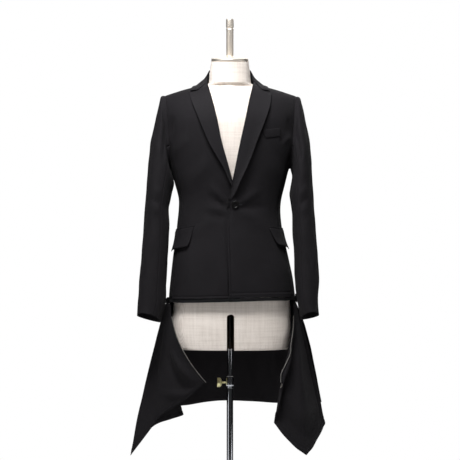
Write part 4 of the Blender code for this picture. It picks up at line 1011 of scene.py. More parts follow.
# %% [markdown]
# ## Pockets and button
#
# The flaps of the two hip pockets hang from a narrow jetting and stand off a little at their lower edge. The
# welt on the wearer's left chest is a folded strip. The button is turned horn with a rim round a dished
# middle, and two bars of thread hold it.


# %% Flaps, jettings and welt
def make_patch(node, side, corners, lift, flare, rounding, thick, count):
    """A piece on the front whose corners are angles in degrees and heights, with rounded lower corners."""
    (a0, z0), (a1, z1), (a2, z2), (a3, z3) = corners
    rows = []
    for v in shares(count[1]):
        row = []
        for u in shares(count[0]):
            near = min(min(u, 1 - u) / rounding, 1) if rounding else 1
            down = v * (1 - 0.14 * (1 - math.sqrt(1 - (1 - near) ** 2)))
            degrees = mix(mix(a0, a1, u), mix(a3, a2, u), down)
            z = mix(mix(z0, z1, u), mix(z3, z2, u), down)
            thinned = 0.0003 * bump(min(u, 1 - u, 1 - v), 0.03)
            raised = lift + flare * down**2 - thinned + 0.0003 * math.sin(9 * u + 3 * v)
            row.append(wrap(SIGN[side] * math.radians(degrees), z, raised))
        rows.append(row)
    return shell(f"{node}_cloth", rows, (SIGN[side] * 0.3, -1, 0), worsted, thick, node)


FLAPS = {
    "right": ((38, 1.0325), (97, 1.0150), (93, 0.9580), (43, 0.9750)),
    "left": ((44, 1.0290), (97, 1.0200), (93, 0.9640), (53, 0.9800)),
}
JET_TOP, JET_LOW = 0.0062, 0.0008
for side, corners in FLAPS.items():
    make_patch(f"hip_flap_{side}", side, corners, ON_CLOTH + 0.0010, 0.0055, 0.05, 0.0016, (34, 16))
    (a0, z0), (a1, z1) = corners[:2]
    jet = ((a0 - 1, z0 + JET_TOP), (a1 + 1, z1 + JET_TOP), (a1 + 1, z1 + JET_LOW), (a0 - 1, z0 + JET_LOW))
    make_patch(f"hip_jet_{side}", side, jet, ON_CLOTH + 0.0003, 0, 0, 0.0012, (34, 4))

rows = []
for v in shares(12):
    row = []
    for u in shares(24):
        x, z = mix(0.0925 + 0.010 * v, 0.1445, u), mix(mix(1.3130, 1.3195, u), mix(1.2895, 1.2960, u), v)
        belly = 0.0006 * math.sin(math.pi * v) * math.sin(math.pi * u) ** 0.5
        row.append(on_body("front", x, z, ON_CLOTH + belly))
    rows.append(row)
shell("breast_welt_cloth", rows, (0, -1, 0), worsted, 0.0014, "breast_welt")
print("pockets made")

# %% Turned pieces
BUTTON_X, BUTTON_Z = 0.0156, 1.0976


def finished(net, name):
    """The mesh of a net that needs no more work."""
    mesh = bpy.data.meshes.new(name)
    net.to_mesh(mesh)
    net.free()
    return mesh


def spun(name, profile, sides=64):
    """A turned mesh from a profile of radius and height, ending on the axis."""
    net, rings = bmesh.new(), []
    turns = [math.tau * k / sides for k in range(sides)]
    for radius, z in profile:
        if radius == 0:
            rings.append([net.verts.new((0, 0, z))] * sides)
        else:
            rings.append([net.verts.new((radius * math.cos(t), radius * math.sin(t), z)) for t in turns])
    for upper, lower in zip(rings, rings[1:]):
        for k in range(sides):
            corners = [upper[k], lower[k], lower[(k + 1) % sides], upper[(k + 1) % sides]]
            kept = [v for n, v in enumerate(corners) if v not in corners[:n]]
            if len(kept) > 2:
                net.faces.new(kept)
    bmesh.ops.recalc_face_normals(net, faces=net.faces)
    return finished(net, name)


def rounded(profile, amount=0.0004):
    """The profile with each inner corner cut to a small curve, as a turner softens an edge."""
    soft = [profile[0]]
    for before, corner, after in zip(profile, profile[1:], profile[2:]):
        b, c, a = Vector(before), Vector(corner), Vector(after)
        near, far = min(amount, (b - c).length * 0.4), min(amount, (a - c).length * 0.4)
        start, end = c + (b - c).normalized() * near, c + (a - c).normalized() * far
        for t in (0, 0.33, 0.67, 1):
            soft.append(tuple(mix(mix(start, c, t), mix(c, end, t), t)))
    return soft + [profile[-1]]


# %% The button, held by two bars of thread
lift = overlap_lift(BUTTON_X, BUTTON_Z) + CLOTH + 0.0007
centre = on_body("front", BUTTON_X, BUTTON_Z, lift)
normal = (on_body("front", BUTTON_X, BUTTON_Z, lift + 0.01) - centre).normalized()
button_place = Matrix.Translation(centre) @ normal.to_track_quat("Z", "Y").to_matrix().to_4x4()
dished = [(0, 0.0016), (0.00672, 0.0018), (0.00829, 0.0030), (0.00986, 0.0032), (0.01098, 0.0024),
          (0.01109, 0.0012), (0.00784, 0.0), (0, 0)]
button_mesh = spun("front_button_horn", rounded(dished))
button_mesh.transform(button_place)
dress("front_button_horn", button_mesh, horn, 0, "front_button")
threads = bmesh.new()
for up in (0.0013, -0.0013):
    matrix = Matrix.Translation((0, up, 0.0020)) @ Matrix.Diagonal((0.0034, 0.0009, 0.0008, 1))
    bmesh.ops.create_icosphere(threads, subdivisions=2, radius=0.5, matrix=matrix)
thread_mesh = finished(threads, "button_thread")
thread_mesh.transform(button_place)
dress("button_thread", thread_mesh, silk_thread, 0, None)
print("button at", [round(v, 4) for v in centre])

# %% [markdown]
# ## The tail
#
# The tail is cut as a flared band. Its back half is zipped to the jacket's hem, and its front quarters are
# let go: each hangs from the last closed tooth of the zip, so all its lines run down from that one point
# like a fan, and it folds over itself behind the free edge. The table gives the fan's stations along the
# free edges.

# %% The tail's stations
Hang = namedtuple("Hang", "top_x top_y hem_x hem_y hem_z sag_x sag_y")
TAIL_POINTS = {"right": Vector((-0.1780, -0.0120, 0.8060)), "left": Vector((0.1895, -0.0120, 0.8160))}
TAIL_QUARTERS = {
    "right": (
        Hang(0.0045, -0.0180, -0.0737, -0.090, 0.5782, -0.026, -0.021),
        Hang(0.0025, -0.0160, -0.1398, -0.068, 0.5226, -0.012, -0.012),
        Hang(-0.0010, -0.0110, -0.2010, -0.038, 0.4808, -0.004, -0.004),
        Hang(-0.0060, -0.0040, -0.2290, -0.018, 0.4440, -0.002, 0.000),
        Hang(-0.0115, 0.0080, -0.2943, 0.020, 0.3563, -0.003, 0.000),
        Hang(-0.0090, 0.0125, -0.2780, 0.036, 0.3930, -0.005, 0.000),
        Hang(-0.0010, 0.0120, -0.2259, 0.058, 0.4403, -0.008, 0.000),
        Hang(0.0055, 0.0075, -0.1763, 0.084, 0.4571, -0.013, 0.000),
        Hang(0.0075, 0.0095, -0.1400, 0.102, 0.4686, -0.018, 0.000),
        Hang(0.0060, 0.0125, -0.1600, 0.124, 0.4760, -0.012, 0.000),
        Hang(0.0030, 0.0155, -0.2050, 0.106, 0.4830, -0.004, 0.000),
        Hang(0.0000, 0.0000, -0.2500, 0.070, 0.4900, 0.000, 0.000),
    ),
    "left": (
        Hang(-0.006, -0.020, 0.1498, -0.092, 0.5648, 0.014, 0.000),
        Hang(-0.005, -0.019, 0.1440, -0.096, 0.5300, 0.0125, 0.000),
        Hang(-0.003, -0.015, 0.1370, -0.090, 0.4960, 0.0105, 0.000),
        Hang(-0.001, -0.011, 0.1283, -0.080, 0.4629, 0.008, 0.000),
        Hang(0.000, -0.008, 0.1700, -0.084, 0.4120, 0.004, 0.000),
        Hang(0.000, -0.005, 0.2216, -0.085, 0.3690, 0.000, 0.000),
        Hang(0.001, -0.001, 0.2560, -0.030, 0.4090, 0.000, 0.000),
        Hang(0.001, 0.003, 0.2809, 0.030, 0.4511, 0.000, 0.000),
        Hang(-0.004, 0.005, 0.2540, 0.058, 0.4650, 0.004, 0.000),
        Hang(-0.008, 0.008, 0.2160, 0.078, 0.4780, 0.008, 0.000),
        Hang(-0.004, 0.013, 0.2330, 0.104, 0.4900, 0.010, 0.000),
        Hang(0.0000, 0.0000, 0.2740, 0.088, 0.5085, 0.010, 0.000),
    ),
}
Flare = namedtuple("Flare", "degrees hem_x hem_y hem_z")
TAIL_BACK = (
    Flare(-89, -0.2500, 0.070, 0.4900),
    Flare(-110, -0.2420, 0.120, 0.4880),
    Flare(-130, -0.2050, 0.165, 0.4850),
    Flare(-150, -0.1300, 0.190, 0.4895),
    Flare(-168, -0.0550, 0.212, 0.4990),
    Flare(-180, 0.0100, 0.205, 0.5020),
    Flare(-195, 0.0800, 0.208, 0.4985),
    Flare(-212, 0.1450, 0.190, 0.4960),
    Flare(-232, 0.2100, 0.172, 0.4985),
    Flare(-252, 0.2520, 0.132, 0.5040),
    Flare(-271, 0.2740, 0.088, 0.5085),
)


# %% The surface of a hanging quarter
def zipped_top(row):
    angle = math.radians(row.degrees)
    return wrap(angle, low_edge(bare(angle, HEM_Z).x) - SEAM - 0.0006)


def hem_of(rows):
    return [Vector((row.hem_x, row.hem_y, row.hem_z)) for row in rows]


QUARTER_LINES = {}
for side, rows in TAIL_QUARTERS.items():
    tops = [TAIL_POINTS[side] + Vector((row.top_x, row.top_y, 0)) for row in rows[:-1]]
    tops.append(zipped_top(TAIL_BACK[0 if side == "right" else -1]))
    QUARTER_LINES[side] = (tops, hem_of(rows), [Vector((row.sag_x, row.sag_y, 0)) for row in rows])
SKEW = {"right": 0.0, "left": 1.4}
# The stations where the free edges turn at a corner, and run straight to it
CORNERS = {"right": (0, 4), "left": (3, 5, 7)}


def hanging(side, down):
    """How much of a line's sag shows at a share of its length."""
    return 4 * down * (1 - down) * (1 + SKEW[side] * (0.5 - down))


def quarter_point(side, share, down):
    """A point of a hanging quarter: share goes round it, and down goes from its point to the free edge."""
    top, hem, sag = (along(points, share) for points in QUARTER_LINES[side])
    hems = QUARTER_LINES[side][1]
    place = share * (len(hems) - 1)
    corner = max(bump(place - number, 0.55) for number in CORNERS[side]) * eased((down - 0.75) / 0.25)
    first = min(int(place), len(hems) - 2)
    hem = mix(hem, mix(hems[first], hems[first + 1], place - first), corner)
    point = mix(top, hem, down) + sag * hanging(side, down)
    # The left one's free edge swings out and in again near its end, where the stiff zip won't lie straight.
    if side == "left":
        wave = 0.0045 * bump(down - 0.60, 0.08) - 0.0070 * bump(down - 0.84, 0.09)
        point.x += wave * math.exp(-share / 0.09)
    return point


# %% The creases of the tail, by the share across and the share down
TAIL_CREASES = {
    "left": (
        Crease(0.626, 0.03, 0.628, 1.00, 0.0060, 0.0060),
        Crease(0.608, 0.06, 0.610, 0.97, 0.0080, -0.0060),
        Crease(0.050, 0.50, 0.085, 0.95, 0.030, 0.0050),
        Crease(0.26, 0.84, 0.60, 0.92, 0.050, -0.0060),
        Crease(0.28, 0.70, 0.58, 0.80, 0.050, 0.0050),
        Crease(0.10, 0.45, 0.16, 0.70, 0.045, 0.0050),
        Crease(0.20, 0.40, 0.28, 0.80, 0.035, -0.0040),
        Crease(0.46, 0.30, 0.46, 0.75, 0.040, 0.0030),
    ),
    "right": (
        Crease(0.085, 0.46, 0.022, 0.94, 0.014, -0.0085),
        Crease(0.125, 0.52, 0.055, 0.98, 0.020, 0.0070),
        Crease(0.170, 0.80, 0.050, 0.99, 0.020, -0.0060),
        Crease(0.22, 0.25, 0.24, 0.80, 0.040, -0.0030),
        Crease(0.30, 0.20, 0.32, 0.85, 0.035, 0.0030),
    ),
    "back": (
        Crease(0.30, 0.15, 0.34, 1.00, 0.030, 0.0060),
        Crease(0.42, 0.25, 0.40, 1.00, 0.025, -0.0050),
        Crease(0.58, 0.10, 0.60, 0.95, 0.030, 0.0050),
        Crease(0.70, 0.30, 0.73, 1.00, 0.025, -0.0050),
        Crease(0.14, 0.20, 0.12, 1.00, 0.025, 0.0050),
        Crease(0.86, 0.20, 0.88, 1.00, 0.025, 0.0050),
    ),
}


# %% The quarters and the back of the tail
# The left quarter has one sharp fold from its point to the hem, and its columns crowd there.
SHARP_FOLD = (0.5925, 0.6505)
# The hem of each quarter is turned up and sewn, and its rows crowd there.
HEM_SEWN, HEM_DOWNS = 0.962, (0.950, 0.957, 0.967)


def creased(rows, acrosses, downs, height):
    """The rows, with each point moved out by height(share across, share down, point)."""
    last_r, last_c = len(rows) - 1, len(rows[0]) - 1
    moved = []
    for r, row in enumerate(rows):
        line = []
        for c, point in enumerate(row):
            across = row[min(c + 1, last_c)] - row[max(c - 1, 0)]
            down = rows[min(r + 1, last_r)][c] - rows[max(r - 1, 0)][c]
            normal = down.cross(across)
            normal = normal.normalized() if normal.length > 1e-9 else Vector((0, -1, 0))
            line.append(point + normal * height(acrosses[c], downs[r], point))
        moved.append(line)
    return moved


def make_quarter(side):
    def height(across, down, point):
        hem = -0.0009 * bump(down - HEM_SEWN, 0.006) if across < 0.85 else 0.0
        folds = creases_at(TAIL_CREASES[side], across, down) + uneven(point, 0.07, 0.0020, 11)
        return eased(down / 0.2) * folds + hem

    acrosses = [mix(0, 0.9988, share) for share in shares(151)]
    if side == "left":
        acrosses = sorted(acrosses + [mix(*SHARP_FOLD, share) for share in shares(17)])
    downs = sorted([share**0.9 for share in shares(48)] + list(HEM_DOWNS))
    rows = [[quarter_point(side, across, down) for across in acrosses] for down in downs]
    rows = creased(rows, acrosses, downs, height)
    # This face lies in the front layer, where the cloth's right side is seen.
    front_face = (len(acrosses) - 1) * 38 + 10
    node = f"tail_front_{side}"
    return shell(f"{node}_cloth", rows, (0, -1, 0), worsted, TAIL_CLOTH, node, front_face)


def make_tail_back():
    def height(across, down, point):
        folds = creases_at(TAIL_CREASES["back"], across, down) + uneven(point, 0.07, 0.0020, 13)
        return -eased(down / 0.2) * folds

    tops, hems, rows = [zipped_top(row) for row in TAIL_BACK], hem_of(TAIL_BACK), []
    for down in shares(40):
        row = []
        for column in shares(120):
            share = mix(0.0012, 0.9988, column)
            outwards = TAIL_QUARTERS["left"][-1].sag_x * hanging("left", down) * bump(1 - share, 0.08)
            row.append(mix(along(tops, share), along(hems, share), down) + Vector((outwards, 0, 0)))
        rows.append(row)
    rows = creased(rows, shares(120), shares(40), height)
    return shell("tail_back_cloth", rows, (0, 1, 0), worsted, TAIL_CLOTH, "tail_back")


for made in (make_quarter("right"), make_quarter("left"), make_tail_back()):
    print(made.name, round(area_of(made), 4))

# %% [markdown]
# ## The zip
#
# A chunky metal zip joins the two parts: a woven tape on each, with a tooth every 2 mm. On the front hems
# and on the quarters' free edges its teeth are bare.


# %% Tapes and teeth
TOOTH_PITCH, TAIL_TAPE = 0.0021, 0.0050


def spaced(points, first, pitch):
    """Places at equal distances along a line: each one's stretch, by its number, and the share of it."""
    lengths = [0.0]
    for a, b in zip(points, points[1:]):
        lengths.append(lengths[-1] + (b - a).length)
    at, i = first, 0
    while at < lengths[-1]:
        while lengths[i + 1] < at:
            i += 1
        yield i, (at - lengths[i]) / (lengths[i + 1] - lengths[i])
        at += pitch


def tooth_row(name, points, outs, finish, tall, thick):
    """Metal teeth along a line, each a small block that stands out from the tape's edge."""
    net = bmesh.new()
    for i, t in spaced(points, TOOTH_PITCH / 2, TOOTH_PITCH):
        place, out = mix(points[i], points[i + 1], t), mix(outs[i], outs[i + 1], t).normalized()
        run = (points[i + 1] - points[i]).normalized()
        turn = Matrix((run, out, run.cross(out).normalized())).transposed().to_4x4()
        size = Matrix.Diagonal((TOOTH_PITCH * 0.55, tall, thick, 1))
        bmesh.ops.create_cube(net, size=1, matrix=Matrix.Translation(place) @ turn @ size)
    dress(name, finished(net, name), finish, 0, None).data.shade_flat()


def hem_tape(side, angles):
    """The tape along one stretch of the hem, and the points of its lower edge."""
    rows = []
    for share in (0, 0.06, 0.2, 0.4, 0.6, 0.8, 0.94, 1):
        row = []
        for angle in angles:
            x = bare(angle, HEM_Z).x
            rise = front_rise(angle) if side != "back" else 0.0
            z = low_edge(x) + rise + mix(0, ZIP_TAPE - 0.0004, share)
            lift = (overlap_lift(x, z) if side == "left" else 0.0) + 0.0004 * math.sin(math.pi * share)
            row.append(wrap(angle, z, lift))
        rows.append(row)
    middle, node = angles[len(angles) // 2], f"hem_zip_{side}"
    shell(f"{node}_tape", rows, (math.sin(middle), -math.cos(middle), 0), zip_tape, CLOTH, node)
    return rows[0]


# %% The zip round the hem
side_line, gap = math.radians(88), math.radians(0.3)
edges = {side: angle_of("front", FRONT_EDGE_READ[side](HEM_Z), HEM_Z) for side in SIGN}
spans = {}
for side, sign in SIGN.items():
    spans[side] = [mix(edges[side], sign * side_line, share) for share in shares(80)]
spans["back"] = [mix(side_line + gap, math.tau - side_line - gap, share) for share in shares(140)]
for side, angles in spans.items():
    line = []
    for point in hem_tape(side, angles):
        point = point + Vector((0, 0, 0.0004))
        line.append(point + (point - Vector((0, MIDDLE_Y, point.z))).normalized() * CLOTH * 0.6)
    # The hem's teeth take the copy darkened as painted shade.
    tooth_row(f"hem_zip_{side}_teeth", line, [Vector((0, 0, -1))] * len(line), hem_teeth_painted_shade, 0.0022, 0.0018)

# At both side points the closed zip ends in a folded tape end, which stands out like a small fin.
for side, sign in SIGN.items():
    root = wrap(sign * side_line, low_edge(sign * 0.185), CLOTH + 0.0004)
    rows = []
    for share in shares(8):
        reach = 0.0105 * math.sin(math.pi * mix(0.12, 0.88, share)) ** 0.6
        z = root.z + mix(0.0185, -0.0060, share)
        x, y = root.x, root.y - 0.0010
        rows.append([Vector((x + sign * reach * c / 6, y - 0.0004 * c, z)) for c in range(7)])
    shell(f"zip_end_{side}", rows, (0, -1, 0), zip_tape, CLOTH, None)

print("hem zipped:", sorted(spans))

# %% The zip on the quarters' free edges
for side in SIGN:
    rows, line, outs = [], [], []
    for share in shares(60):
        down = mix(0.17, 0.93 if side == "left" else 1.0, share)
        near, inside = quarter_point(side, 0, down), quarter_point(side, 0.03, down)
        outward = (near - inside).normalized() if side == "right" else Vector((-0.6, -0.8, 0.0))
        rows.append([near + outward * mix(0.0006, TAIL_TAPE, column) for column in shares(5)])
        line.append(near + outward * (TAIL_TAPE - 0.0002))
        outs.append(outward)
    shell(f"tail_zip_{side}_tape", rows, (0, -1, 0), zip_tape, CLOTH, f"tail_zip_{side}")
    # The free edges' teeth take the copy lightened as painted light.
    tooth_row(f"tail_zip_{side}_teeth", line, outs, free_edge_teeth_painted_light, 0.0030, 0.0026)
print("free edges zipped")

# %% [markdown]
# ## Thread
#
# A machine stitch is a short dash of thread that dips into the cloth at both ends. Two rows of them hold
# the tail's hem, one row holds each tape of the hem's zip, and a buttonhole is edged with close stitches
# across its slit.


# %% Stitches
STITCH, STITCH_GAP, HOLE_STITCH, HOLE_PITCH, THREAD_RADIUS = 0.0026, 0.0011, 0.0022, 0.0007, 0.00028


def stitches(name, line, lift, across=False):
    """Dashes of thread along a line of points and ways out of the cloth, or close ones across it."""
    net, points = bmesh.new(), [point for point, _ in line]
    for i, t in spaced(points, STITCH / 2, HOLE_PITCH if across else STITCH + STITCH_GAP):
        out = mix(line[i][1], line[i + 1][1], t).normalized()
        run = (points[i + 1] - points[i]).normalized()
        beside = out.cross(run).normalized()
        turn = Matrix((beside, run, out) if across else (run, beside, out)).transposed().to_4x4()
        place = Matrix.Translation(mix(points[i], points[i + 1], t) + out * lift)
        size = Matrix.Diagonal(((HOLE_STITCH if across else STITCH) / 2, THREAD_RADIUS, THREAD_RADIUS, 1))
        bmesh.ops.create_icosphere(net, subdivisions=1, radius=1, matrix=place @ turn @ size)
    dress(name, finished(net, name), silk_thread, 0, None)


def body_line(face, places):
    """Points on the jacket's lining side, with the ways out of the cloth."""
    line = []
    for x, z in places:
        point = on_body(face, x, z)
        line.append((point, (on_body(face, x, z, 0.01) - point).normalized()))
    return line


# %% The buttonhole and the hems
hole = body_line("front", [(mix(0.0255, 0.0350, share), BUTTON_Z) for share in shares(12)])
for name, up in (("low", -0.0012), ("high", 0.0012)):
    line = [(point + Vector((0, 0, up)), out) for point, out in hole]
    stitches(f"buttonhole_{name}", line, overlap_lift(0.030, BUTTON_Z) + CLOTH + 0.0022, across=True)

for side, sign in SIGN.items():
    first, last = sign * FRONT_EDGE_READ[side](HEM_Z) + 0.003, panel_x(side, HEM_Z) - 0.003
    across = [sign * mix(first, last, share) for share in shares(60)]
    places = [(x, low_edge(x) + ZIP_TAPE + 0.0020) for x in across]
    line = []
    for x, z in places:
        (point, out), = body_line("front", [(x, z + front_rise(angle_of("front", x, HEM_Z)))])
        line.append((point + out * (overlap_lift(x, z) if side == "left" else 0.0), out))
    stitches(f"hem_stitches_{side}", line, CLOTH + 0.0008)
    behind = body_line("back", [(x, z) for x, z in places if abs(x) > 0.03])
    stitches(f"hem_stitches_back_{side}", behind, CLOTH + 0.0008)

for side in SIGN:
    for number, inset in enumerate((0.016, 0.026)):
        line, down = [], 1 - inset
        for share in shares(132)[12:111]:
            point = quarter_point(side, share, down)
            beside = quarter_point(side, share + 0.004, down) - quarter_point(side, share - 0.004, down)
            out = beside.cross(point - quarter_point(side, share, down - 0.02)).normalized()
            line.append((point, out if out.y < 0 else -out))
        stitches(f"tail_hem_stitches_{side}_{number}", line, TAIL_CLOTH + 0.0003)
print("thread sewn")

# %% [markdown]
# ## The dress form and its stand
#
# The form is a firm body covered tightly with linen. It needs far more sides than its CAD solid, because
# its outline is seen against white. The turned metal pieces are spun again from the same profiles, with
# their edges softened.

# %% The measures of the neck and the slot
NeckRing = namedtuple("NeckRing", "z half front back")
NECK = (
    NeckRing(1.4550, 0.0622, -0.0590, 0.0520),
    NeckRing(1.4680, 0.0610, -0.0590, 0.0505),
    NeckRing(1.4870, 0.0595, -0.0595, 0.0480),
    NeckRing(1.5050, 0.0568, -0.0610, 0.0465),
    NeckRing(1.5205, 0.0548, -0.0620, 0.0470),
)
NECK_TILT, NECK_TOP = math.radians(6.4), Vector((0, -0.0075, 1.5205))
SLOT_WIDTH, SLOT_TOP, SLOT_EXTRA, POLE_RADIUS = 0.0177, 0.779, 0.0036, 0.0080
FORM_SIDES = 144


# %% The form's rings, and the bar that cuts its slot
def form_half(side, z):
    """The form's half width at z, or less where its shoulder slopes in."""
    high, sign = measure(FORM_READ, side, z), SIGN[side]
    if ridge(sign * high, FORM_READ) >= z:
        return high
    low = 0.0
    for _ in range(30):
        middle = (low + high) / 2
        low, high = (middle, high) if ridge(sign * middle, FORM_READ) > z else (low, middle)
    return low


def form_rings():
    """Rings from the lower edge, which is slightly rounded, to the top of the neck, which leans forward."""
    heights = [0.6738, 0.6750, 0.6775, 0.6810] + [mix(0.685, 1.40, share) for share in shares(64)]
    heights += [1.408, 1.416, 1.423, 1.430, 1.436, 1.441, 1.4445, 1.447]
    angles = [math.tau * (k + 0.5) / FORM_SIDES for k in range(FORM_SIDES)]
    rings = []
    for z in heights:
        half = {side: form_half(side, z) for side in SIGN}
        rings.append([around(FORM_READ, angle, half[side_of(math.sin(angle))], z) for angle in angles])
    for ring, drawn_in in zip(rings, (0.018, 0.006)):
        ring[:] = [mix(point, Vector((0, MIDDLE_Y, point.z)), drawn_in) for point in ring]
    read = columns_of(NECK)
    for share in shares(12):
        z = mix(NECK[0].z, NECK[-1].z, share)
        half, front, back = read["half"](z), read["front"](z), read["back"](z)
        middle, deep, lean = (front + back) / 2, (back - front) / 2, share**1.3 * math.tan(NECK_TILT)
        ring = []
        for angle in angles:
            forward = -deep * math.cos(angle)
            ring.append(Vector((half * math.sin(angle), middle + forward, z + lean * forward)))
        rings.append(ring)
    return rings


def slot_bar():
    """A bar with a round top, which cuts the slot for the pole, wider on the wearer's left."""
    radius, low = SLOT_WIDTH / 2, 0.640
    arc = [(math.cos(math.pi * share), math.sin(math.pi * share)) for share in shares(24)]
    outline = [(radius, low), *[(radius * x, SLOT_TOP - radius + radius * z) for x, z in arc], (-radius, low)]
    outline = [(x + SLOT_EXTRA * eased((x + radius) / radius), z) for x, z in outline]
    size = len(outline)
    faces = [tuple(range(size)), tuple(reversed(range(size, 2 * size)))]
    faces += [(k, k + size, (k + 1) % size + size, (k + 1) % size) for k in range(size)]
    mesh = bpy.data.meshes.new("slot_shape")
    mesh.from_pydata([(x, y, z) for y in (-0.150, POLE_RADIUS + 0.001) for x, z in outline], [], faces)
    return linked("slot_shape", mesh)


# %% The form, covered with linen
def make_form():
    rings = form_rings()
    points = [tuple(point) for ring in rings for point in ring]
    faces = net_faces(len(rings), FORM_SIDES, ring=True)
    faces += [tuple(reversed(range(FORM_SIDES))), tuple(range(len(points) - FORM_SIDES, len(points)))]
    mesh = bpy.data.meshes.new("form_linen")
    mesh.from_pydata(points, [], faces)
    form, bar = linked("form_linen", mesh), slot_bar()
    cut = form.modifiers.new("slot", "BOOLEAN")
    cut.object, cut.operation = bar, "DIFFERENCE"
    settle(form)
    bpy.data.objects.remove(bar)
    form.data.materials.clear()
    form.data.materials.append(linen)
    form.data.materials.append(fibreboard_with_slot_shade)
    # The slot's walls take the fibreboard, whose dark colour stands partly for painted shade in the groove.
    for face in form.data.polygons:
        x, y, z = face.center
        in_slot = abs(x) < SLOT_WIDTH and -0.095 < y < 0.02 and z < SLOT_TOP + 0.001
        if in_slot and not (z < 0.68 and abs(face.normal.z) > 0.9):
            face.material_index = 1
    form.data.shade_smooth()
    form.data.set_sharp_from_angle(angle=math.radians(35))
    return mounted(form, "figure", "torso")


print("form faces:", len(make_form().data.polygons))


# %% The turned metal pieces
def turned_piece(node, profile, matrix, finish, body, soft=0.0006, sides=72):
    name = f"{node}_metal"
    mesh = spun(name, rounded(profile, soft), sides)
    mesh.transform(matrix)
    mesh.materials.append(finish)
    mesh.shade_smooth()
    mesh.set_sharp_from_angle(angle=math.radians(40))
    return mounted(linked(name, mesh), body, node)


tilt = Matrix.Translation(NECK_TOP) @ Matrix.Rotation(NECK_TILT, 4, "X")
foot, rim = 0.0105, 0.0547
cap = [(0, 0.0155), (foot + 0.002, 0.0153), (rim - 0.0010, 0.0088), (rim, 0.0078), (rim, 0.0012),
       (rim - 0.0008, 0.0004), (0, 0.0004)]
turned_piece("neck_cap", cap, tilt, satin_nickel, "figure")
rod = [(0, 0.1090), (0.0094, 0.1090), (0.0112, 0.1070), (0.0114, 0.0870), (0.0108, 0.0838),
       (0.0097, 0.0828), (0.0097, 0.0805), (0.0110, 0.0790), (0.0112, 0.0765), (foot, 0.0745),
       (foot, 0.0008), (foot - 0.0008, 0), (0, 0)]
on_cap = [(radius, z + 0.0158) for radius, z in rod]
turned_piece("finial", on_cap, tilt, satin_nickel, "figure")

# %% The pole, its tube and the clamp
POLE_TOP, POLE_LOW = 0.7676, 0.300
TUBE_RADIUS, TUBE_BORE, TUBE_TOP, TUBE_FOOT = 0.0096, 0.0083, 0.5900, 0.0343
pole = [(0, POLE_TOP), (POLE_RADIUS, POLE_TOP), (POLE_RADIUS, POLE_LOW), (0, POLE_LOW)]
turned_piece("inner_pole", pole, Matrix(), chrome, "figure", 0.001)
tube = [(TUBE_BORE, TUBE_TOP - 0.02), (TUBE_BORE, TUBE_TOP), (TUBE_RADIUS, TUBE_TOP),
        (TUBE_RADIUS, TUBE_FOOT), (TUBE_BORE, TUBE_FOOT), (TUBE_BORE, TUBE_TOP - 0.02)]
turned_piece("outer_tube", tube, Matrix(), chrome, "stand", 0.0002)

CLAMP_RADIUS, CLAMP_WAIST, CLAMP_LOW, CLAMP_TOP = 0.0125, 0.0104, 0.5577, 0.5932
bore, lip = TUBE_RADIUS + 0.0003, TUBE_TOP + 0.0003
collar = [(TUBE_BORE, CLAMP_TOP - 0.0008), (TUBE_BORE, CLAMP_TOP), (CLAMP_RADIUS - 0.001, CLAMP_TOP),
          (CLAMP_RADIUS, CLAMP_TOP - 0.0012), (CLAMP_RADIUS, 0.5670), (CLAMP_WAIST, 0.5640),
          (CLAMP_WAIST, CLAMP_LOW), (bore, CLAMP_LOW), (bore, lip), (TUBE_BORE, lip),
          (TUBE_BORE, CLAMP_TOP - 0.0008)]
turned_piece("clamp_collar", collar, Matrix(), chrome, "stand", 0.0004)
print("pole from", POLE_LOW, "to", POLE_TOP, "m")

# %% The thumbscrew, the base plate and the zip's metal ends
SCREW_Z, SCREW_RADIUS, KNOB_RADIUS, SCREW_OUT = 0.5744, 0.0028, 0.0141, 0.0378
screw_end = POLE_RADIUS + 0.0003 - SCREW_OUT
screw = [(0, 0), (KNOB_RADIUS - 0.0015, 0), (KNOB_RADIUS, -0.0015), (KNOB_RADIUS, -0.0070),
         (KNOB_RADIUS - 0.0020, -0.0110), (0.0070, -0.0135), (SCREW_RADIUS + 0.0006, -0.0150),
         (SCREW_RADIUS, -0.0160), (SCREW_RADIUS, screw_end), (0, screw_end)]
across = Matrix.Translation((-SCREW_OUT, 0, SCREW_Z)) @ Matrix.Rotation(-math.pi / 2, 4, "Y")
turned_piece("thumbscrew", screw, across, lacquered_brass, "thumbscrew_body", 0.0012)

PLATE_RADIUS = 0.150
plate = [(0, 0.034), (0.0165, 0.034), (0.0175, 0.033), (0.0175, 0.020), (0.030, 0.0165),
         (PLATE_RADIUS - 0.010, 0.009), (PLATE_RADIUS - 0.002, 0.007), (PLATE_RADIUS, 0.0045),
         (PLATE_RADIUS, 0.001), (PLATE_RADIUS - 0.001, 0), (0, 0)]
turned_piece("base_plate", plate, Matrix(), painted_steel, "stand", 0.002, 128)

for node in ("zip_box", "slider_left", "slider_right", "pull_tab_left", "pull_tab_right"):
    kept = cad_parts[node]
    kept.data.materials.clear()
    kept.data.materials.append(zip_nickel)
print("metal pieces done")

# %% [markdown]
# ## Light and backdrop
#
# The photograph is lit by a soft box high above the camera: edges that stand off throw a shadow below them,
# and the front is a little darker towards the hem. Weaker boxes at both sides draw one bright line on each
# side of the pole, and one behind lights the back. The floor is white paper, and the far backdrop is so
# bright that it is pure white.

# %% The studio
FLOOR_Z = -0.0005
corners = [(-3, -3, FLOOR_Z), (3, -3, FLOOR_Z), (3, 2.4, FLOOR_Z), (-3, 2.4, FLOOR_Z)]
paper_mesh = bpy.data.meshes.new("paper_floor")
paper_mesh.from_pydata(corners, [], [(0, 1, 2, 3)])
paper_mesh.materials.append(new_finish("white paper", "#f4f4f4", 0.9))
floor = linked("paper_floor", paper_mesh)

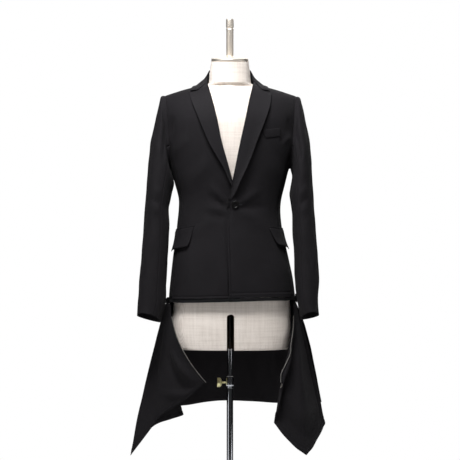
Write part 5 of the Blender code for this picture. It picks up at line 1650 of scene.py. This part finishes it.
world = bpy.data.worlds.new("studio")
bpy.context.scene.world = world
world.use_nodes = True
seen = add_node(world.node_tree, "ShaderNodeLightPath", {}, {}).outputs["Is Camera Ray"]
limits = {"Value": seen, "To Min": 0.035, "To Max": 1.0}
strength = add_node(world.node_tree, "ShaderNodeMapRange", {}, limits).outputs[0]
backdrop = world.node_tree.nodes["Background"]
backdrop.inputs["Color"].default_value = (1, 1, 1, 1)
world.node_tree.links.new(strength, backdrop.inputs["Strength"])
bpy.context.scene.view_settings.view_transform = "Standard"


def softbox(name, place, aim_height, size, power):
    """A rectangular light at a place, turned to a point on the pole's axis."""
    light = bpy.data.lights.new(name, "AREA")
    light.shape, light.size, light.size_y, light.energy = "RECTANGLE", *size, power
    made = linked(name, light)
    made.location = place
    made.rotation_euler = (Vector((0, 0, aim_height)) - Vector(place)).to_track_quat("-Z", "Y").to_euler()


softbox("key_above", (-0.25, -1.00, 2.78), 1.3, (0.9, 0.5), 76)
softbox("soft_left", (-2.3, -1.3, 1.1), 0.9, (1.0, 2.2), 9)
softbox("soft_right", (2.4, -1.0, 0.9), 0.8, (0.6, 2.0), 8)
softbox("soft_behind", (0.5, 2.3, 2.4), 1.0, (2.2, 1.4), 30)
print("lights:", len(bpy.data.lights))

# %% [markdown]
# ## The sizes of the cut
#
# Each sheet of cloth has the size that it was cut to, before it was sewn and hung. The last lines print
# each sheet's area, and what share of its cut's area that is.

# %% The cuts, and the end
Cut = namedtuple("Cut", "piece width length area held rests_on")
CUTS = (
    Cut("front_left_cloth", 0.265, 0.665, 0.1180, "hung", ["form_linen"]),
    Cut("front_right_cloth", 0.280, 0.665, 0.1270, "hung", ["form_linen"]),
    Cut("back_left_cloth", 0.260, 0.670, 0.1260, "hung", ["form_linen"]),
    Cut("back_right_cloth", 0.255, 0.670, 0.1250, "hung", ["form_linen"]),
    Cut("side_left_cloth", 0.125, 0.450, 0.0420, "hung", ["form_linen"]),
    Cut("side_right_cloth", 0.125, 0.445, 0.0430, "hung", ["form_linen"]),
    Cut("lapel_left_facing", 0.085, 0.385, 0.0172, "folded", ["front_left_cloth"]),
    Cut("lapel_right_facing", 0.085, 0.370, 0.0141, "folded", ["front_right_cloth"]),
    Cut("collar_leaf_cloth", 0.060, 0.440, 0.0187, "folded", ["back_left_cloth", "back_right_cloth"]),
    Cut("collar_stand_cloth", 0.035, 0.250, 0.0071, "folded", ["back_left_cloth", "back_right_cloth"]),
    Cut("sleeve_upper_left_cloth", 0.260, 0.680, 0.1220, "hung", ["form_linen"]),
    Cut("sleeve_upper_right_cloth", 0.270, 0.680, 0.1290, "hung", ["form_linen"]),
    Cut("sleeve_under_left_cloth", 0.160, 0.460, 0.0590, "hung", ["form_linen"]),
    Cut("sleeve_under_right_cloth", 0.165, 0.460, 0.0610, "hung", ["form_linen"]),
    Cut("hip_flap_left_cloth", 0.125, 0.060, 0.0061, "hung", ["front_left_cloth"]),
    Cut("hip_flap_right_cloth", 0.145, 0.062, 0.0077, "hung", ["front_right_cloth"]),
    Cut("hip_jet_left_cloth", 0.150, 0.010, 0.0008, "stretched", ["front_left_cloth"]),
    Cut("hip_jet_right_cloth", 0.165, 0.010, 0.0009, "stretched", ["front_right_cloth"]),
    Cut("breast_welt_cloth", 0.060, 0.026, 0.0014, "stretched", ["front_left_cloth"]),
    Cut("hem_zip_left_tape", 0.300, 0.011, 0.0030, "stretched", ["front_left_cloth"]),
    Cut("hem_zip_right_tape", 0.310, 0.011, 0.0031, "stretched", ["front_right_cloth"]),
    Cut("hem_zip_back_tape", 0.610, 0.011, 0.0061, "stretched", ["back_left_cloth", "back_right_cloth"]),
    Cut("tail_back_cloth", 0.780, 0.340, 0.1925, "hung", ["hem_zip_back_tape"]),
    Cut("tail_front_left_cloth", 0.560, 0.460, 0.0940, "hung", ["hem_zip_back_tape"]),
    Cut("tail_front_right_cloth", 0.560, 0.500, 0.1035, "hung", ["hem_zip_back_tape"]),
    Cut("tail_zip_left_tape", 0.210, 0.010, 0.0012, "stretched", ["tail_front_left_cloth"]),
    Cut("tail_zip_right_tape", 0.250, 0.010, 0.0013, "stretched", ["tail_front_right_cloth"]),
)
SEWN_ON = {
    "front_left_cloth": ["buttonhole_low", "buttonhole_high", "hem_stitches_left"],
    "front_right_cloth": ["hem_stitches_right"],
    "hem_zip_back_tape": ["hem_zip_back_teeth", "zip_end_left", "zip_end_right"],
}
for side in SIGN:
    SEWN_ON[f"back_{side}_cloth"] = [f"hem_stitches_back_{side}"]
    SEWN_ON[f"hem_zip_{side}_tape"] = [f"hem_zip_{side}_teeth"]
    SEWN_ON[f"tail_zip_{side}_tape"] = [f"tail_zip_{side}_teeth"]
    SEWN_ON[f"tail_front_{side}_cloth"] = [f"tail_hem_stitches_{side}_{number}" for number in range(2)]
for cut in CUTS:
    piece = bpy.data.objects[cut.piece]
    sewn = [bpy.data.objects[name] for name in SEWN_ON.get(cut.piece, [])]
    measured = area_of(piece)
    print(cut.piece, round(measured, 4), "square metres,", round(measured / cut.area, 2), "of its cut")
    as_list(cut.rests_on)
